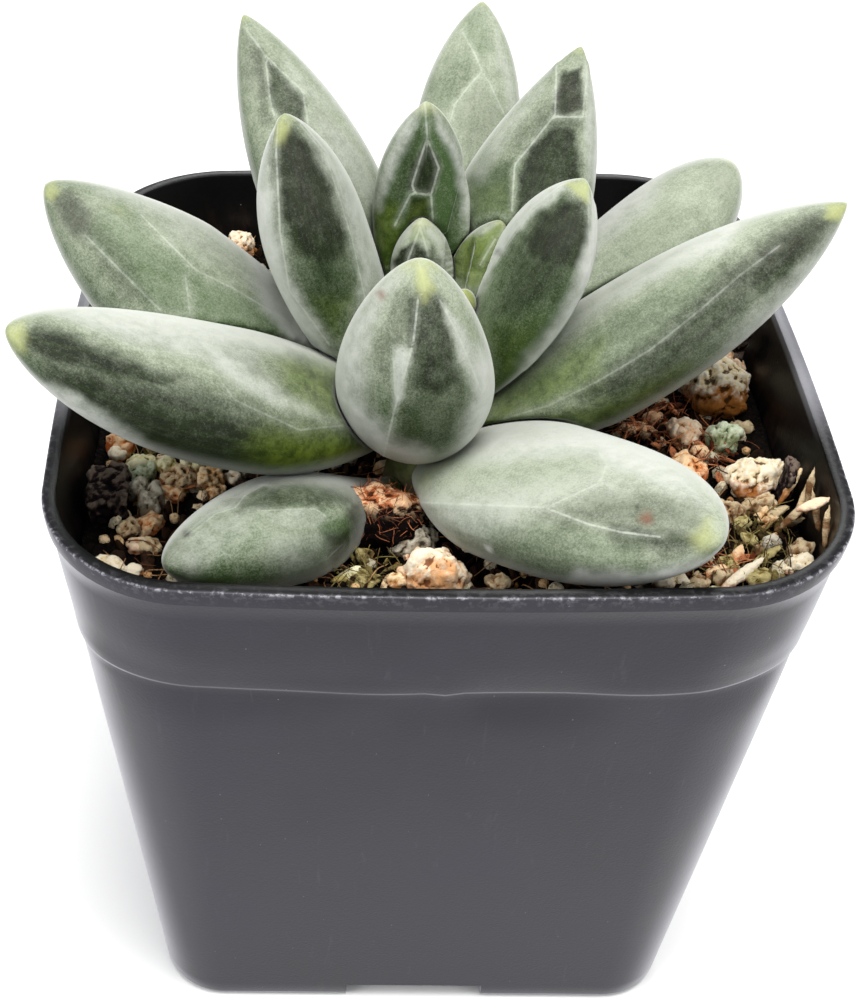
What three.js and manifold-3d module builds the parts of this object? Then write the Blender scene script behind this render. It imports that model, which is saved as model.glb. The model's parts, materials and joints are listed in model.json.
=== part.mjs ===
// A small pale-leaved pachyphytum in a square nursery pot. Millimetres, +Z up.
// The origin is the middle of the pot's footprint, on the surface that the pot stands on.
// Seen from -Y, which is the front, the long low leaves point left and right past the rim.
import * as THREE from 'three';
import { mergeVertices } from 'three/addons/utils/BufferGeometryUtils.js';
import Module from 'manifold-3d';

const wasm = await Module();
wasm.setup();

// Pot: a tapered square tub with round corners, sides that bow out a little and four corner feet
const potHeight = 62.6;
const rimHalfWidth = 31.5;
const baseHalfWidth = 25.6;
const rimCorner = 12.2;
const baseCorner = 6.3;
const rimBow = 0.45;
const potWall = 0.9;
const floorThickness = 1.0;
const lipHeight = 1.5;
const lipReach = 0.3;
const shoulderDrop = 12;
const shoulderStep = 0.25;
const footHeight = 2.4;
const footGap = 13.7;
const drainRadius = 3.4;
const drainSpread = 15.5;

// Soil: fills the pot to a rough surface below the rim
const seatGap = 0.3;
const soilLevel = 53.6;
const soilEdgeRise = 1.6;
const soilTilt = 0.4;
const soilRelief = 0.35;

// Stem: short, leaning back from its foot, in a plain hole in the soil
const stemFootX = -1.8;
const stemFootY = -8.5;
const stemLeanX = 2.6;
const stemLeanY = 7.0;
const stemRise = 14.5;
const stemFootDepth = 9;
const stemFootRadius = 2.9;
const stemShoulder = 62;
const stemShoulderRadius = 2.3;
const stemTopRadius = 1.1;

// Leaves: the neck's thickness where each one meets the stem, a flatter upper face, a fuller
// lower one, and how fast the neck swells into the leaf
const neckThickness = 2.8;
const leafSides = 12;
const upperFace = 0.86;
const lowerFace = 1.14;
const neckSwell = 0.85;
const slowSwell = 1.8;

// Loose pieces on the soil: how much of each stands above its middle, and how lumpy each kind is
const stoneBed = 0.15;
const roughBy = { pebble: 0.1, grit: 0.12, chip: 0.16 };
const stoneSeed = 41;

const DEG = Math.PI / 180;

function roundSquare(half, corner, bow, z) {
  const sideSteps = 3;
  const cornerSteps = 5;
  const flat = half - corner;
  const points = [];
  for (let quarter = 0; quarter < 4; quarter++) {
    const turn = quarter * 90 * DEG;
    const add = (x, y) => points.push(new THREE.Vector3(
      x * Math.cos(turn) - y * Math.sin(turn),
      x * Math.sin(turn) + y * Math.cos(turn),
      z,
    ));
    for (let i = 0; i < sideSteps; i++) {
      const along = -1 + (2 * i) / sideSteps;
      add(half + bow * (1 - along * along), along * flat);
    }
    for (let i = 0; i < cornerSteps; i++) {
      const angle = (i / cornerSteps) * 90 * DEG;
      add(flat + corner * Math.cos(angle), flat + corner * Math.sin(angle));
    }
  }
  return points;
}

// The pot's outer plan at a height, moved inwards or outwards by an offset
function potRing(z, offset) {
  const rise = z / potHeight;
  const half = baseHalfWidth + (rimHalfWidth - baseHalfWidth) * rise;
  const corner = baseCorner + (rimCorner - baseCorner) * rise;
  return roundSquare(half + offset, corner + offset, rimBow * rise, z);
}

// A closed mesh through rings of equally many points, its ends closed by a fan to their middle
function loft(rings, startPoint, endPoint) {
  const count = rings[0].length;
  const middle = (ring) => ring
    .reduce((sum, point) => sum.add(point), new THREE.Vector3())
    .divideScalar(ring.length);
  const vertices = rings.flat();
  const start = vertices.push(startPoint ?? middle(rings[0])) - 1;
  const end = vertices.push(endPoint ?? middle(rings[rings.length - 1])) - 1;
  const index = [];
  for (let i = 0; i < count; i++) {
    const next = (i + 1) % count;
    index.push(start, next, i);
    const last = (rings.length - 1) * count;
    index.push(end, last + i, last + next);
    for (let r = 0; r < rings.length - 1; r++) {
      const a = r * count + i;
      const b = r * count + next;
      index.push(a, b, b + count);
      index.push(a, b + count, a + count);
    }
  }
  const geometry = new THREE.BufferGeometry();
  geometry.setAttribute('position', new THREE.Float32BufferAttribute(
    vertices.flatMap((point) => [point.x, point.y, point.z]),
    3,
  ));
  geometry.setIndex(index);
  return geometry;
}

function toSolid(geometry) {
  const bare = geometry.clone();
  bare.deleteAttribute('normal');
  bare.deleteAttribute('uv');
  const merged = mergeVertices(bare, 1e-5);
  return new wasm.Manifold(new wasm.Mesh({
    numProp: 3,
    vertProperties: new Float32Array(merged.attributes.position.array),
    triVerts: new Uint32Array(merged.index.array),
  }));
}

function toGeometry(solid) {
  const mesh = solid.getMesh();
  const geometry = new THREE.BufferGeometry();
  geometry.setAttribute('position', new THREE.BufferAttribute(mesh.vertProperties, 3));
  geometry.setIndex(new THREE.BufferAttribute(mesh.triVerts, 1));
  return geometry;
}

// The largest body of a solid that a cut may have left in several
function mainBody(solid) {
  const bodies = solid.decompose();
  return bodies.sort((a, b) => b.volume() - a.volume())[0];
}

// A repeatable random sequence
function seeded(seed) {
  let state = seed >>> 0;
  return () => {
    state = (Math.imul(state, 1664525) + 1013904223) >>> 0;
    return state / 4294967296;
  };
}

// Smooth bumps over the plane, between -1 and 1
function roughness(x, y) {
  return (
    Math.sin(0.9 * x + 0.4 * y)
    + Math.sin(0.55 * x - 0.95 * y + 1.3)
    + Math.sin(1.45 * x + 1.2 * y + 2.1)
    + Math.sin(-1.1 * x + 1.7 * y + 0.6)
  ) / 4;
}

function soilHeight(x, y) {
  const reach = 30;
  const dish = soilEdgeRise * (x * x + y * y) / (reach * reach);
  return soilLevel + dish + soilTilt * x / reach + soilRelief * roughness(x, y);
}

function soilRing(share, z) {
  const ring = potRing(soilLevel, -potWall - seatGap);
  return ring.map((point) => {
    const x = point.x * share;
    const y = point.y * share;
    return new THREE.Vector3(x, y, z ?? soilHeight(x, y));
  });
}

// The raised cross in the pot's floor, between its four feet
function floorCross(halfWidth, height) {
  const bottom = -1;
  const arm = (length, width) => {
    const box = new THREE.BoxGeometry(length, width, height - bottom);
    box.translate(0, 0, (height + bottom) / 2);
    return toSolid(box);
  };
  const length = 4 * rimHalfWidth;
  return arm(length, 2 * halfWidth).add(arm(2 * halfWidth, length));
}

function makePot() {
  const shoulder = potHeight - shoulderDrop;
  const lip = potHeight - lipHeight;
  const outer = toSolid(loft([
    potRing(0, -0.9),
    potRing(0.9, -0.1),
    potRing(shoulder - 0.3, -shoulderStep),
    potRing(shoulder + 0.3, 0),
    potRing(lip - 0.2, 0),
    potRing(lip, lipReach),
    potRing(potHeight - 0.2, lipReach),
    potRing(potHeight, lipReach - 0.2),
  ]));
  const cavity = toSolid(loft([
    potRing(floorThickness, -potWall - 0.7),
    potRing(floorThickness + 0.9, -potWall),
    potRing(shoulder - 0.3, -potWall - shoulderStep),
    potRing(shoulder + 0.3, -potWall),
    potRing(potHeight + 1, -potWall),
  ]));
  const raisedFloor = floorCross(footGap / 2 + floorThickness, footHeight + floorThickness);
  let pot = outer
    .subtract(cavity.subtract(raisedFloor))
    .subtract(floorCross(footGap / 2, footHeight));
  const holes = [[0, 0], [1, 0], [0, 1], [-1, 0], [0, -1]];
  for (const [x, y] of holes) {
    const hole = new THREE.CylinderGeometry(drainRadius, drainRadius, 4 * footHeight, 12);
    hole.rotateX(90 * DEG);
    hole.translate(x * drainSpread, y * drainSpread, footHeight);
    pot = pot.subtract(toSolid(hole));
  }
  return pot;
}

function makeSoil() {
  const inset = -potWall - seatGap;
  const shoulder = potHeight - shoulderDrop;
  const soil = toSolid(loft([
    potRing(floorThickness + seatGap, inset - 0.7),
    potRing(floorThickness + seatGap + 0.9, inset),
    potRing(shoulder - 0.7, inset - shoulderStep),
    soilRing(1),
    soilRing(0.84),
    soilRing(0.68),
    soilRing(0.52),
    soilRing(0.36),
    soilRing(0.2),
  ]));
  const cross = floorCross(
    footGap / 2 + floorThickness + seatGap,
    footHeight + floorThickness + seatGap,
  );
  return soil.subtract(cross);
}

// The stem's middle at a height
function stemMiddle(z) {
  const share = (z - soilLevel) / stemRise;
  return new THREE.Vector3(stemFootX + stemLeanX * share, stemFootY + stemLeanY * share, z);
}

function stemRadius(z) {
  const { mapLinear, clamp } = THREE.MathUtils;
  const top = soilLevel + stemRise;
  const lower = mapLinear(z, soilLevel, stemShoulder, stemFootRadius, stemShoulderRadius);
  const upper = mapLinear(z, stemShoulder, top, stemShoulderRadius, stemTopRadius);
  return clamp(z < stemShoulder ? lower : upper, stemTopRadius, stemFootRadius);
}

function stemShape(grow) {
  const sides = 12;
  const foot = soilLevel - stemFootDepth;
  const top = soilLevel + stemRise;
  const ring = (z, radius) => Array.from({ length: sides }, (_, i) => {
    const angle = (i / sides) * 360 * DEG;
    return stemMiddle(z).add(new THREE.Vector3(
      (radius + grow) * Math.cos(angle),
      (radius + grow) * Math.sin(angle),
      0,
    ));
  });
  return toSolid(loft([
    ring(foot - grow, stemFootRadius * 0.6),
    ring(foot + 1.2, stemFootRadius),
    ring(soilLevel, stemFootRadius),
    ring(stemShoulder, stemShoulderRadius),
    ring(top + grow, stemTopRadius),
  ]));
}

// One leaf: a fat spindle from a narrow neck to a short point.
// heading and pitch give the way from the neck to the tip, sag lets the middle hang below it,
// and roll turns the leaf about its length.
function leafShape(leaf, grow) {
  const { seat, heading, pitch, length, width, thickness, sag, roll } = leaf;
  const { widest, bluntness, neck, swellPower } = leaf;
  const out = new THREE.Vector3(Math.cos(heading * DEG), Math.sin(heading * DEG), 0);
  const start = stemMiddle(seat).addScaledVector(out, stemRadius(seat) + seatGap);
  const chord = out.clone().multiplyScalar(Math.cos(pitch * DEG));
  chord.z = Math.sin(pitch * DEG);
  const across = new THREE.Vector3(-out.y, out.x, 0);
  const above = new THREE.Vector3().crossVectors(chord, across);
  const middle = (s) => start.clone()
    .addScaledVector(chord, length * s)
    .addScaledVector(above, -sag * 4 * s * (1 - s));
  const stations = [0, 0.08, 0.2, 0.34, 0.48, 0.62, 0.76, 0.88, 0.95];
  const rings = stations.map((s) => {
    const along = chord.clone().multiplyScalar(length)
      .addScaledVector(above, -sag * 4 * (1 - 2 * s))
      .normalize();
    const side = across.clone().applyAxisAngle(chord, roll * DEG);
    const up = new THREE.Vector3().crossVectors(along, side).normalize();
    const swell = s < widest
      ? Math.sin((s / widest) * 90 * DEG) ** swellPower
      : 1 - ((s - widest) / (1 - widest)) ** bluntness;
    const neckShare = s < widest ? 1 - swell : 0;
    const halfWidth = swell * width / 2 + neckShare * neck / 2 + grow;
    const halfThickness = swell * thickness / 2 + neckShare * neckThickness / 2 + grow;
    const centre = middle(s);
    if (s === 0) centre.addScaledVector(along, -grow);
    return Array.from({ length: leafSides }, (_, i) => {
      const angle = (i / leafSides) * 360 * DEG;
      const upwards = Math.sin(angle);
      const share = upwards > 0 ? upperFace : lowerFace;
      return centre.clone()
        .addScaledVector(side, halfWidth * Math.cos(angle))
        .addScaledVector(up, halfThickness * share * upwards);
    });
  });
  const tip = middle(1).addScaledVector(chord, grow);
  return toSolid(loft(rings, undefined, tip));
}

// The leaves from the lowest to the youngest. Headings are turned from +X towards +Y.
const leafTable = [
  // name, seat, heading, pitch, length, width, thickness, sag, roll, widest, bluntness, neck,
  // and how slowly the neck swells
  ['leaf_01', 57.4, -49, 17.4, 29, 16.2, 9.3, 0.5, 3, 0.34, 3.6, 8],
  ['leaf_02', 54.6, -136, 14.5, 25.8, 11.2, 8.6, -0.3, 12, 0.5, 3.4, 4, slowSwell],
  ['leaf_03', 57.5, 62, 14, 25, 10.5, 7.5, 0.5, 0, 0.5, 2.4, 3.8],
  ['leaf_04', 57.5, 108, 14, 26, 10.5, 7.5, 0.5, 0, 0.5, 2.4, 3.8],
  ['leaf_05', 60.4, -156, 27, 36.5, 14.5, 9.2, 1.6, -9, 0.41, 3, 3.8],
  ['leaf_06', 56.9, 11, 32.6, 37.6, 12.4, 9.6, 0.2, -4, 0.42, 2.8, 3.8],
  ['leaf_07', 58.8, 165, 30.4, 35.3, 14, 10.4, 1.4, -10, 0.62, 2, 3.8],
  ['leaf_08', 61.6, 33, 22.7, 31.9, 11, 8.6, 2.2, -4, 0.53, 4.2, 3.8],
  ['leaf_09', 58.9, -105, 80, 20.1, 12.8, 9.8, 1.8, 6, 0.43, 2.5, 3.8],
  ['leaf_10', 61.2, 130, 47.6, 33.8, 10.9, 8.8, 0.2, -6, 0.51, 2.1, 3.8],
  ['leaf_11', 62.9, 53, 52.3, 27.9, 11.8, 8.9, 1.2, 2, 0.53, 1.7, 3.8],
  ['leaf_12', 62.8, 81, 37.9, 33.6, 9.8, 7.6, 1.1, -1, 0.52, 2.9, 3.8],
  ['leaf_13', 59.8, 159, 67.3, 27, 10.9, 7.4, 1.2, -7, 0.59, 2.5, 3.8],
  ['leaf_14', 60.9, 12, 65.4, 21.3, 10.7, 6.6, 0.2, 5, 0.55, 2.7, 3.8],
  ['leaf_15', 63.5, 104, 78.4, 21, 8.3, 5.4, 2.1, -5, 0.53, 2.6, 3.8],
  ['leaf_16', 66.4, 129, 78.7, 8.8, 5.8, 4.4, 0.5, -3, 0.45, 2.4, 2.8],
  ['leaf_17', 67, 43, 55.5, 8.3, 4.8, 3.4, -0.4, 0, 0.45, 2.7, 2.6],
  ['bud', 67.5, -60, 76, 3.4, 2.6, 2.2, 0, 0, 0.45, 2.6, 1.8],
];
const leaves = leafTable.map(([
  name, seat, heading, pitch, length, width, thickness, sag, roll,
  widest, bluntness, neck, swellPower = neckSwell,
]) => ({
  name, seat, heading, pitch, length, width, thickness, sag, roll,
  widest, bluntness, neck, swellPower,
}));

// Where two leaves press on each other, the one named later here is dented by the other
const pressOrder = [
  'leaf_16', 'leaf_17', 'bud', 'leaf_09', 'leaf_14', 'leaf_05', 'leaf_13', 'leaf_15', 'leaf_01',
  'leaf_06', 'leaf_07', 'leaf_02', 'leaf_11', 'leaf_08', 'leaf_12', 'leaf_10', 'leaf_03', 'leaf_04',
];

const leavesOnSoil = ['leaf_01', 'leaf_02'];

// Loose pieces on the soil. Lift is how far a piece stands above its usual bed, and lean tips it
// over towards +X.
const stoneTable = [
  // name, x, y, length, width, height, turn, shape, colour, lift, lean
  ['stone_amber', -27.5, -5.4, 2.6, 3.0, 2.4, 0, 'grit', 0xa8682f],
  ['stone_yellow', -25.9, -8.2, 3.0, 2.8, 2.6, 20, 'grit', 0xb59a5a],
  ['stone_grey', -24.3, -12.7, 2.3, 3.4, 2.2, 0, 'grit', 0x77736e],
  ['bark_stub', -27.6, -12.8, 3.0, 4.8, 2.8, 4, 'chip', 0x5a3d2b],
  ['stone_mottled', -22.2, -9.5, 3.2, 3.0, 2.4, 35, 'grit', 0x8c7a66],
  ['grit_tan', -19.1, -10.6, 2.4, 2.4, 2.0, 10, 'grit', 0xa98b63],
  ['stone_pink', -24.9, -18.7, 2.3, 2.1, 1.8, 0, 'grit', 0xb78a78],
  ['flake_cream', -25.6, -21.8, 2.1, 1.1, 0.9, 12, 'chip', 0xd9cbb0],
  ['crust_red', -4.9, -15.8, 7.2, 5.2, 5, 8, 'pebble', 0x7a3f2a, 0.8],
  ['tuft_olive', -6.5, -21.6, 3.5, 2.7, 1.8, -10, 'grit', 0x6f6b3c],
  ['stone_cracked', -0.5, -22.3, 5.4, 3.4, 3, -5, 'pebble', 0xa48562],
  ['grit_pink', -2, -18.9, 2.7, 2, 1.8, 30, 'grit', 0xb08474],
  ['stone_pumice', 26.0, 2.0, 5.2, 5.8, 4.2, 0, 'pebble', 0xa39b8c],
  ['chip_brown', 28.8, 7.4, 1.0, 2.2, 4.6, 6, 'chip', 0x6d4a33, 1.4, 8],
  ['stone_tan', 22.5, -3.4, 3.2, 3.0, 2.6, 15, 'grit', 0xb27c4a],
  ['stone_green', 25.9, -5.1, 3.0, 3.0, 2.6, 0, 'grit', 0x9da089],
  ['clump_fibre', 18.6, -2.4, 3.8, 3.2, 2.2, -20, 'pebble', 0x4d3626],
  ['stone_orange', 21.5, -8.9, 3.9, 3.4, 2.8, 10, 'pebble', 0xb4703c],
  ['stone_cream', 26.3, -11.0, 4.7, 3.4, 2.8, 6, 'pebble', 0xcdbb98],
  ['stone_sand_a', 24.3, -15.3, 2.8, 2.7, 2.2, 0, 'grit', 0xb79d73],
  ['stone_sand_b', 27.3, -15.4, 2.6, 2.6, 2.2, 25, 'grit', 0xa98e69],
  ['chip_wall', 29.2, -12.9, 0.9, 2.4, 4.0, -5, 'chip', 0x8a6a4a, 1.3, 8],
  ['stone_pale', 27.1, -22.3, 2.1, 1.9, 1.6, 0, 'grit', 0xd2c4a8],
  ['splinter', 22.5, -23.9, 3.6, 1.1, 0.9, -8, 'chip', 0x9c7b55],
  ['flake_olive', 25.9, -24.5, 2.4, 1.0, 0.8, 20, 'chip', 0x77704a],
  ['grit_brown', 26.0, -19.3, 2.4, 1.7, 1.5, 0, 'grit', 0x84654a],
  ['stone_back_a', -18.4, 27.9, 3.6, 2.2, 2.2, 0, 'grit', 0xa58d6b],
  ['stone_back_b', 9.0, 26.0, 3.0, 2.6, 2.2, 30, 'grit', 0x94836c],
  ['stone_back_c', 22.0, 21.0, 3.4, 3.0, 2.4, 50, 'grit', 0xb09a78],
  ['stone_back_d', -25.0, 17.0, 2.8, 3.2, 2.2, 0, 'grit', 0x9a6f4c],
  ['stone_back_e', -6.0, 24.0, 2.4, 2.2, 1.8, 10, 'grit', 0x8d8270],
];
const stones = stoneTable.map(([
  name, x, y, length, width, height, turn, shape, colour, lift = 0, lean = 0,
]) => ({ name, x, y, length, width, height, turn, shape, colour, lift, lean }));

// One loose piece: a lumpy pebble, an angular grit or a split chip
function stoneShape(stone, index, grow) {
  const blanks = {
    pebble: () => new THREE.IcosahedronGeometry(0.5, 1),
    grit: () => new THREE.IcosahedronGeometry(0.5, 0),
    chip: () => new THREE.BoxGeometry(1, 1, 1, 2, 2, 1),
  };
  const bare = blanks[stone.shape]();
  bare.deleteAttribute('normal');
  bare.deleteAttribute('uv');
  const geometry = mergeVertices(bare, 1e-4);
  const random = seeded(stoneSeed + 17 * index);
  const position = geometry.attributes.position;
  for (let i = 0; i < position.count; i++) {
    const point = new THREE.Vector3().fromBufferAttribute(position, i);
    point.multiplyScalar(1 + roughBy[stone.shape] * (random() * 2 - 1));
    position.setXYZ(i, point.x, point.y, point.z);
  }
  geometry.scale(stone.length + 2 * grow, stone.width + 2 * grow, stone.height + 2 * grow);
  geometry.rotateY(stone.lean * DEG);
  geometry.rotateZ(stone.turn * DEG);
  const bed = soilHeight(stone.x, stone.y) + stoneBed * stone.height + stone.lift;
  geometry.translate(stone.x, stone.y, bed);
  return toSolid(geometry);
}

// The leaves as they sit, each dented by the ones before it in the press order and by the stem.
// The reddish crust of old fibres lies on the foot of one low leaf.
const leafUnderCrust = 'leaf_02';
const crustIndex = stones.findIndex((stone) => stone.name === 'crust_red');

function seatedLeaves() {
  const grownStem = stemShape(seatGap);
  const seated = new Map();
  const grown = [];
  for (const name of pressOrder) {
    const leaf = leaves.find((entry) => entry.name === name);
    let solid = leafShape(leaf, 0).subtract(grownStem);
    for (const other of grown) {
      solid = solid.subtract(other);
    }
    if (name === leafUnderCrust) {
      solid = solid.subtract(stoneShape(stones[crustIndex], crustIndex, seatGap));
    }
    seated.set(name, mainBody(solid));
    grown.push(leafShape(leaf, seatGap));
  }
  return leaves.map((leaf) => ({ name: leaf.name, solid: seated.get(leaf.name) }));
}

// The soil with its plain hole for the stem and a pocket for each piece that lies in it
function seatedSoil() {
  let soil = makeSoil().subtract(stemShape(seatGap));
  stones.forEach((stone, index) => {
    soil = soil.subtract(stoneShape(stone, index, seatGap));
  });
  for (const leaf of leaves.filter((entry) => leavesOnSoil.includes(entry.name))) {
    soil = soil.subtract(leafShape(leaf, seatGap));
  }
  return mainBody(soil);
}

const group = new THREE.Group();

function addMesh(name, solid, color, roughness, metalness = 0) {
  const material = new THREE.MeshStandardMaterial({ color, roughness, metalness });
  const mesh = new THREE.Mesh(toGeometry(solid), material);
  mesh.name = name;
  group.add(mesh);
}

addMesh('pot', makePot(), 0x4b4a52, 0.55);
addMesh('soil', seatedSoil(), 0x2b211c, 0.95);
addMesh('stem', stemShape(0), 0x8fa05a, 0.6);
for (const { name, solid } of seatedLeaves()) {
  addMesh(name, solid, 0x8fa58c, 0.55);
}
stones.forEach((stone, index) => {
  addMesh(stone.name, stoneShape(stone, index, 0), stone.colour, 0.9);
});

export default group;
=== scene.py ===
"""Looks for a small pachyphytum in a square nursery pot.

Lengths in the tables are millimetres. The part stands on the floor with +Z up, its front
towards -Y. Places named "in the picture" are pixels of a picture 860 wide and 1004 high.
"""

import json
import math

import bmesh
import bpy
import numpy as np
from mathutils import Matrix, Vector, noise
from mathutils.bvhtree import BVHTree

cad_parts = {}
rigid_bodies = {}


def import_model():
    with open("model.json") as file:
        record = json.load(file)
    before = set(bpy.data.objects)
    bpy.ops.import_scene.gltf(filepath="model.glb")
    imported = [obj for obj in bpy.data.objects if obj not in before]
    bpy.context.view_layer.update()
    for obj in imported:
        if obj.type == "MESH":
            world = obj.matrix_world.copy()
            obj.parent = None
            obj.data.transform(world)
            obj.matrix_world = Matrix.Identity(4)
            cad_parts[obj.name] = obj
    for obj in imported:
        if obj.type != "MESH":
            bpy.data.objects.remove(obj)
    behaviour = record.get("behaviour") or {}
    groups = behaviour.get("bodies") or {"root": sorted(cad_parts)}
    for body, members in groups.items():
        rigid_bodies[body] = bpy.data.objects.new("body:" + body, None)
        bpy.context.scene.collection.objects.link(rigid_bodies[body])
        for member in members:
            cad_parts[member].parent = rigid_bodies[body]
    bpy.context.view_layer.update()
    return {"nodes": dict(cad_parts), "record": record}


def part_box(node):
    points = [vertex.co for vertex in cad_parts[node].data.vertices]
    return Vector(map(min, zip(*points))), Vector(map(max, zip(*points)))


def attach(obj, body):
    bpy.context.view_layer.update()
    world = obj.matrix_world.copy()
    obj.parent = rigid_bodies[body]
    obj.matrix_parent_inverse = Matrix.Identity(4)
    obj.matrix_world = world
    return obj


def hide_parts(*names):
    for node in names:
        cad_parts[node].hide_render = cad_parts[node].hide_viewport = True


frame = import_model()

# Without a seed, noise.noise_vector differs from run to run
noise.seed_set(1)

MM = 0.001
PICTURE_WIDTH = 860
PICTURE_HEIGHT = 1004

# The camera: where it aims, how it is turned, and its lens in picture pixels
CAMERA_AIM = (-9.9, 0.0, 36.94)
CAMERA_RISE = 42.096
CAMERA_ROLL = 0.5
CAMERA_DISTANCE = 153.44
LENS_PIXELS = 1551.5
LENS_CENTRE = (320, 562)
SENSOR_WIDTH = 36
# The place that the lamps point at, in metres
LIT_PLACE = (0, 0, 0.05)

# The pot, as its solid has it
POT_HEIGHT = 62.6
RIM_HALF = 31.5
BASE_HALF = 25.6
RIM_CORNER = 12.2
BASE_CORNER = 6.3
RIM_BOW = 0.45
POT_WALL = 0.9
POT_FLOOR = 3.4
LIP_HEIGHT = 1.5
LIP_REACH = 0.3
SHOULDER_DROP = 12
SHOULDER_STEP = 0.25
WALL_DENT = 0.5
FOOT_HEIGHT = 2.4
FOOT_GAP = 13.7
LIP_EDGE = (POT_HEIGHT - 0.08, LIP_REACH - 0.07)
DRAIN_RADIUS = 3.4
DRAIN_SPREAD = 15.5

# The soil's surface
SOIL_LEVEL = 53.6
SOIL_EDGE_RISE = 1.6
SOIL_TILT = 0.4
SOIL_RELIEF = 0.35
SOIL_REACH = 30
SEAT_GAP = 0.3
SOIL_RINGS = 110
SOIL_CRUMB = 0.45

# The stem
STEM_FOOT = (-1.8, -8.5)
STEM_LEAN = (2.6, 7.0)
STEM_RISE = 14.5
STEM_FOOT_DEPTH = 9
STEM_SHOULDER = 62
STEM_RADII = (2.9, 2.3, 1.1)

# The leaves: their necks, their flatter upper face and fuller lower one
NECK_THICKNESS = 2.8
UPPER_FACE = 0.86
LOWER_FACE = 1.14
NECK_SWELL = 0.85
SLOW_SWELL = 1.8
LEAF_RINGS = 110
LEAF_SIDES = 96
# How domed the tips are: 1 is a plain cone, and less is rounder
DOMED = {
    "leaf_01": 0.66, "leaf_02": 0.6, "leaf_05": 0.68, "leaf_07": 0.68, "leaf_08": 0.6,
    "leaf_09": 0.62, "leaf_15": 0.75,
}
USUAL_DOME = 0.82
DOME_MATCH = 0.6
DENT_GAP = 0.12
DENT_STEPS = 24
DEEPEST_DENT = 0.12

LEAF_COLUMNS = (
    "seat heading pitch length width thickness sag roll widest bluntness neck swell"
).split()
LEAVES = {
    "leaf_01": (57.4, -49, 17.4, 29, 16.2, 9.3, 0.5, 3, 0.34, 3.6, 8),
    "leaf_02": (54.6, -136, 14.5, 25.4, 11.2, 8.6, -0.3, 12, 0.5, 2.4, 2.8, SLOW_SWELL),
    "leaf_03": (57.5, 62, 14, 25, 10.5, 7.5, 0.5, 0, 0.5, 2.4, 3.8),
    "leaf_04": (57.5, 108, 14, 26, 10.5, 7.5, 0.5, 0, 0.5, 2.4, 3.8),
    "leaf_05": (60.4, -156, 27, 36.5, 14.5, 9.2, 1.6, -9, 0.41, 3, 3.8),
    "leaf_06": (56.9, 11, 32.6, 37.6, 12.4, 9.6, 0.2, -4, 0.42, 2.8, 3.8),
    "leaf_07": (58.8, 165, 30.4, 35.3, 14, 10.4, 1.4, -10, 0.62, 2, 3.8),
    "leaf_08": (61.6, 33, 22.7, 31.9, 11, 8.6, 2.2, -4, 0.53, 4.2, 3.8),
    "leaf_09": (58.9, -105, 80, 20.1, 12.8, 9.8, 1.8, 6, 0.43, 2.5, 3.8),
    "leaf_10": (61.2, 130, 47.6, 33.8, 10.9, 8.8, 0.2, -6, 0.51, 2.1, 3.8),
    "leaf_11": (62.9, 53, 52.3, 27.9, 11.8, 8.9, 1.2, 2, 0.53, 1.7, 3.8),
    "leaf_12": (62.8, 81, 37.9, 33.6, 9.8, 7.6, 1.1, -1, 0.52, 2.9, 3.8),
    "leaf_13": (59.8, 159, 67.3, 27, 10.9, 7.4, 1.2, -7, 0.59, 2.5, 3.8),
    "leaf_14": (60.9, 12, 65.4, 21.3, 10.7, 6.6, 0.2, 5, 0.55, 2.7, 3.8),
    "leaf_15": (63.5, 104, 78.4, 21, 8.3, 5.4, 2.1, -5, 0.53, 2.6, 3.8),
    "leaf_16": (66.4, 129, 78.7, 8.8, 5.8, 4.4, 0.5, -3, 0.45, 2.4, 2.8),
    "leaf_17": (67, 43, 55.5, 8.3, 4.8, 3.4, -0.4, 0, 0.45, 2.7, 2.6),
    "bud": (67.5, -60, 76, 3.4, 2.6, 2.2, 0, 0, 0.45, 2.6, 1.8),
}

# Where two leaves press on each other, the one named later is dented by the other
PRESS_ORDER = (
    "leaf_16 leaf_17 bud leaf_09 leaf_14 leaf_05 leaf_13 leaf_15 leaf_01 leaf_06 leaf_07"
    " leaf_02 leaf_11 leaf_08 leaf_12 leaf_10 leaf_03 leaf_04"
).split()

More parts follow.
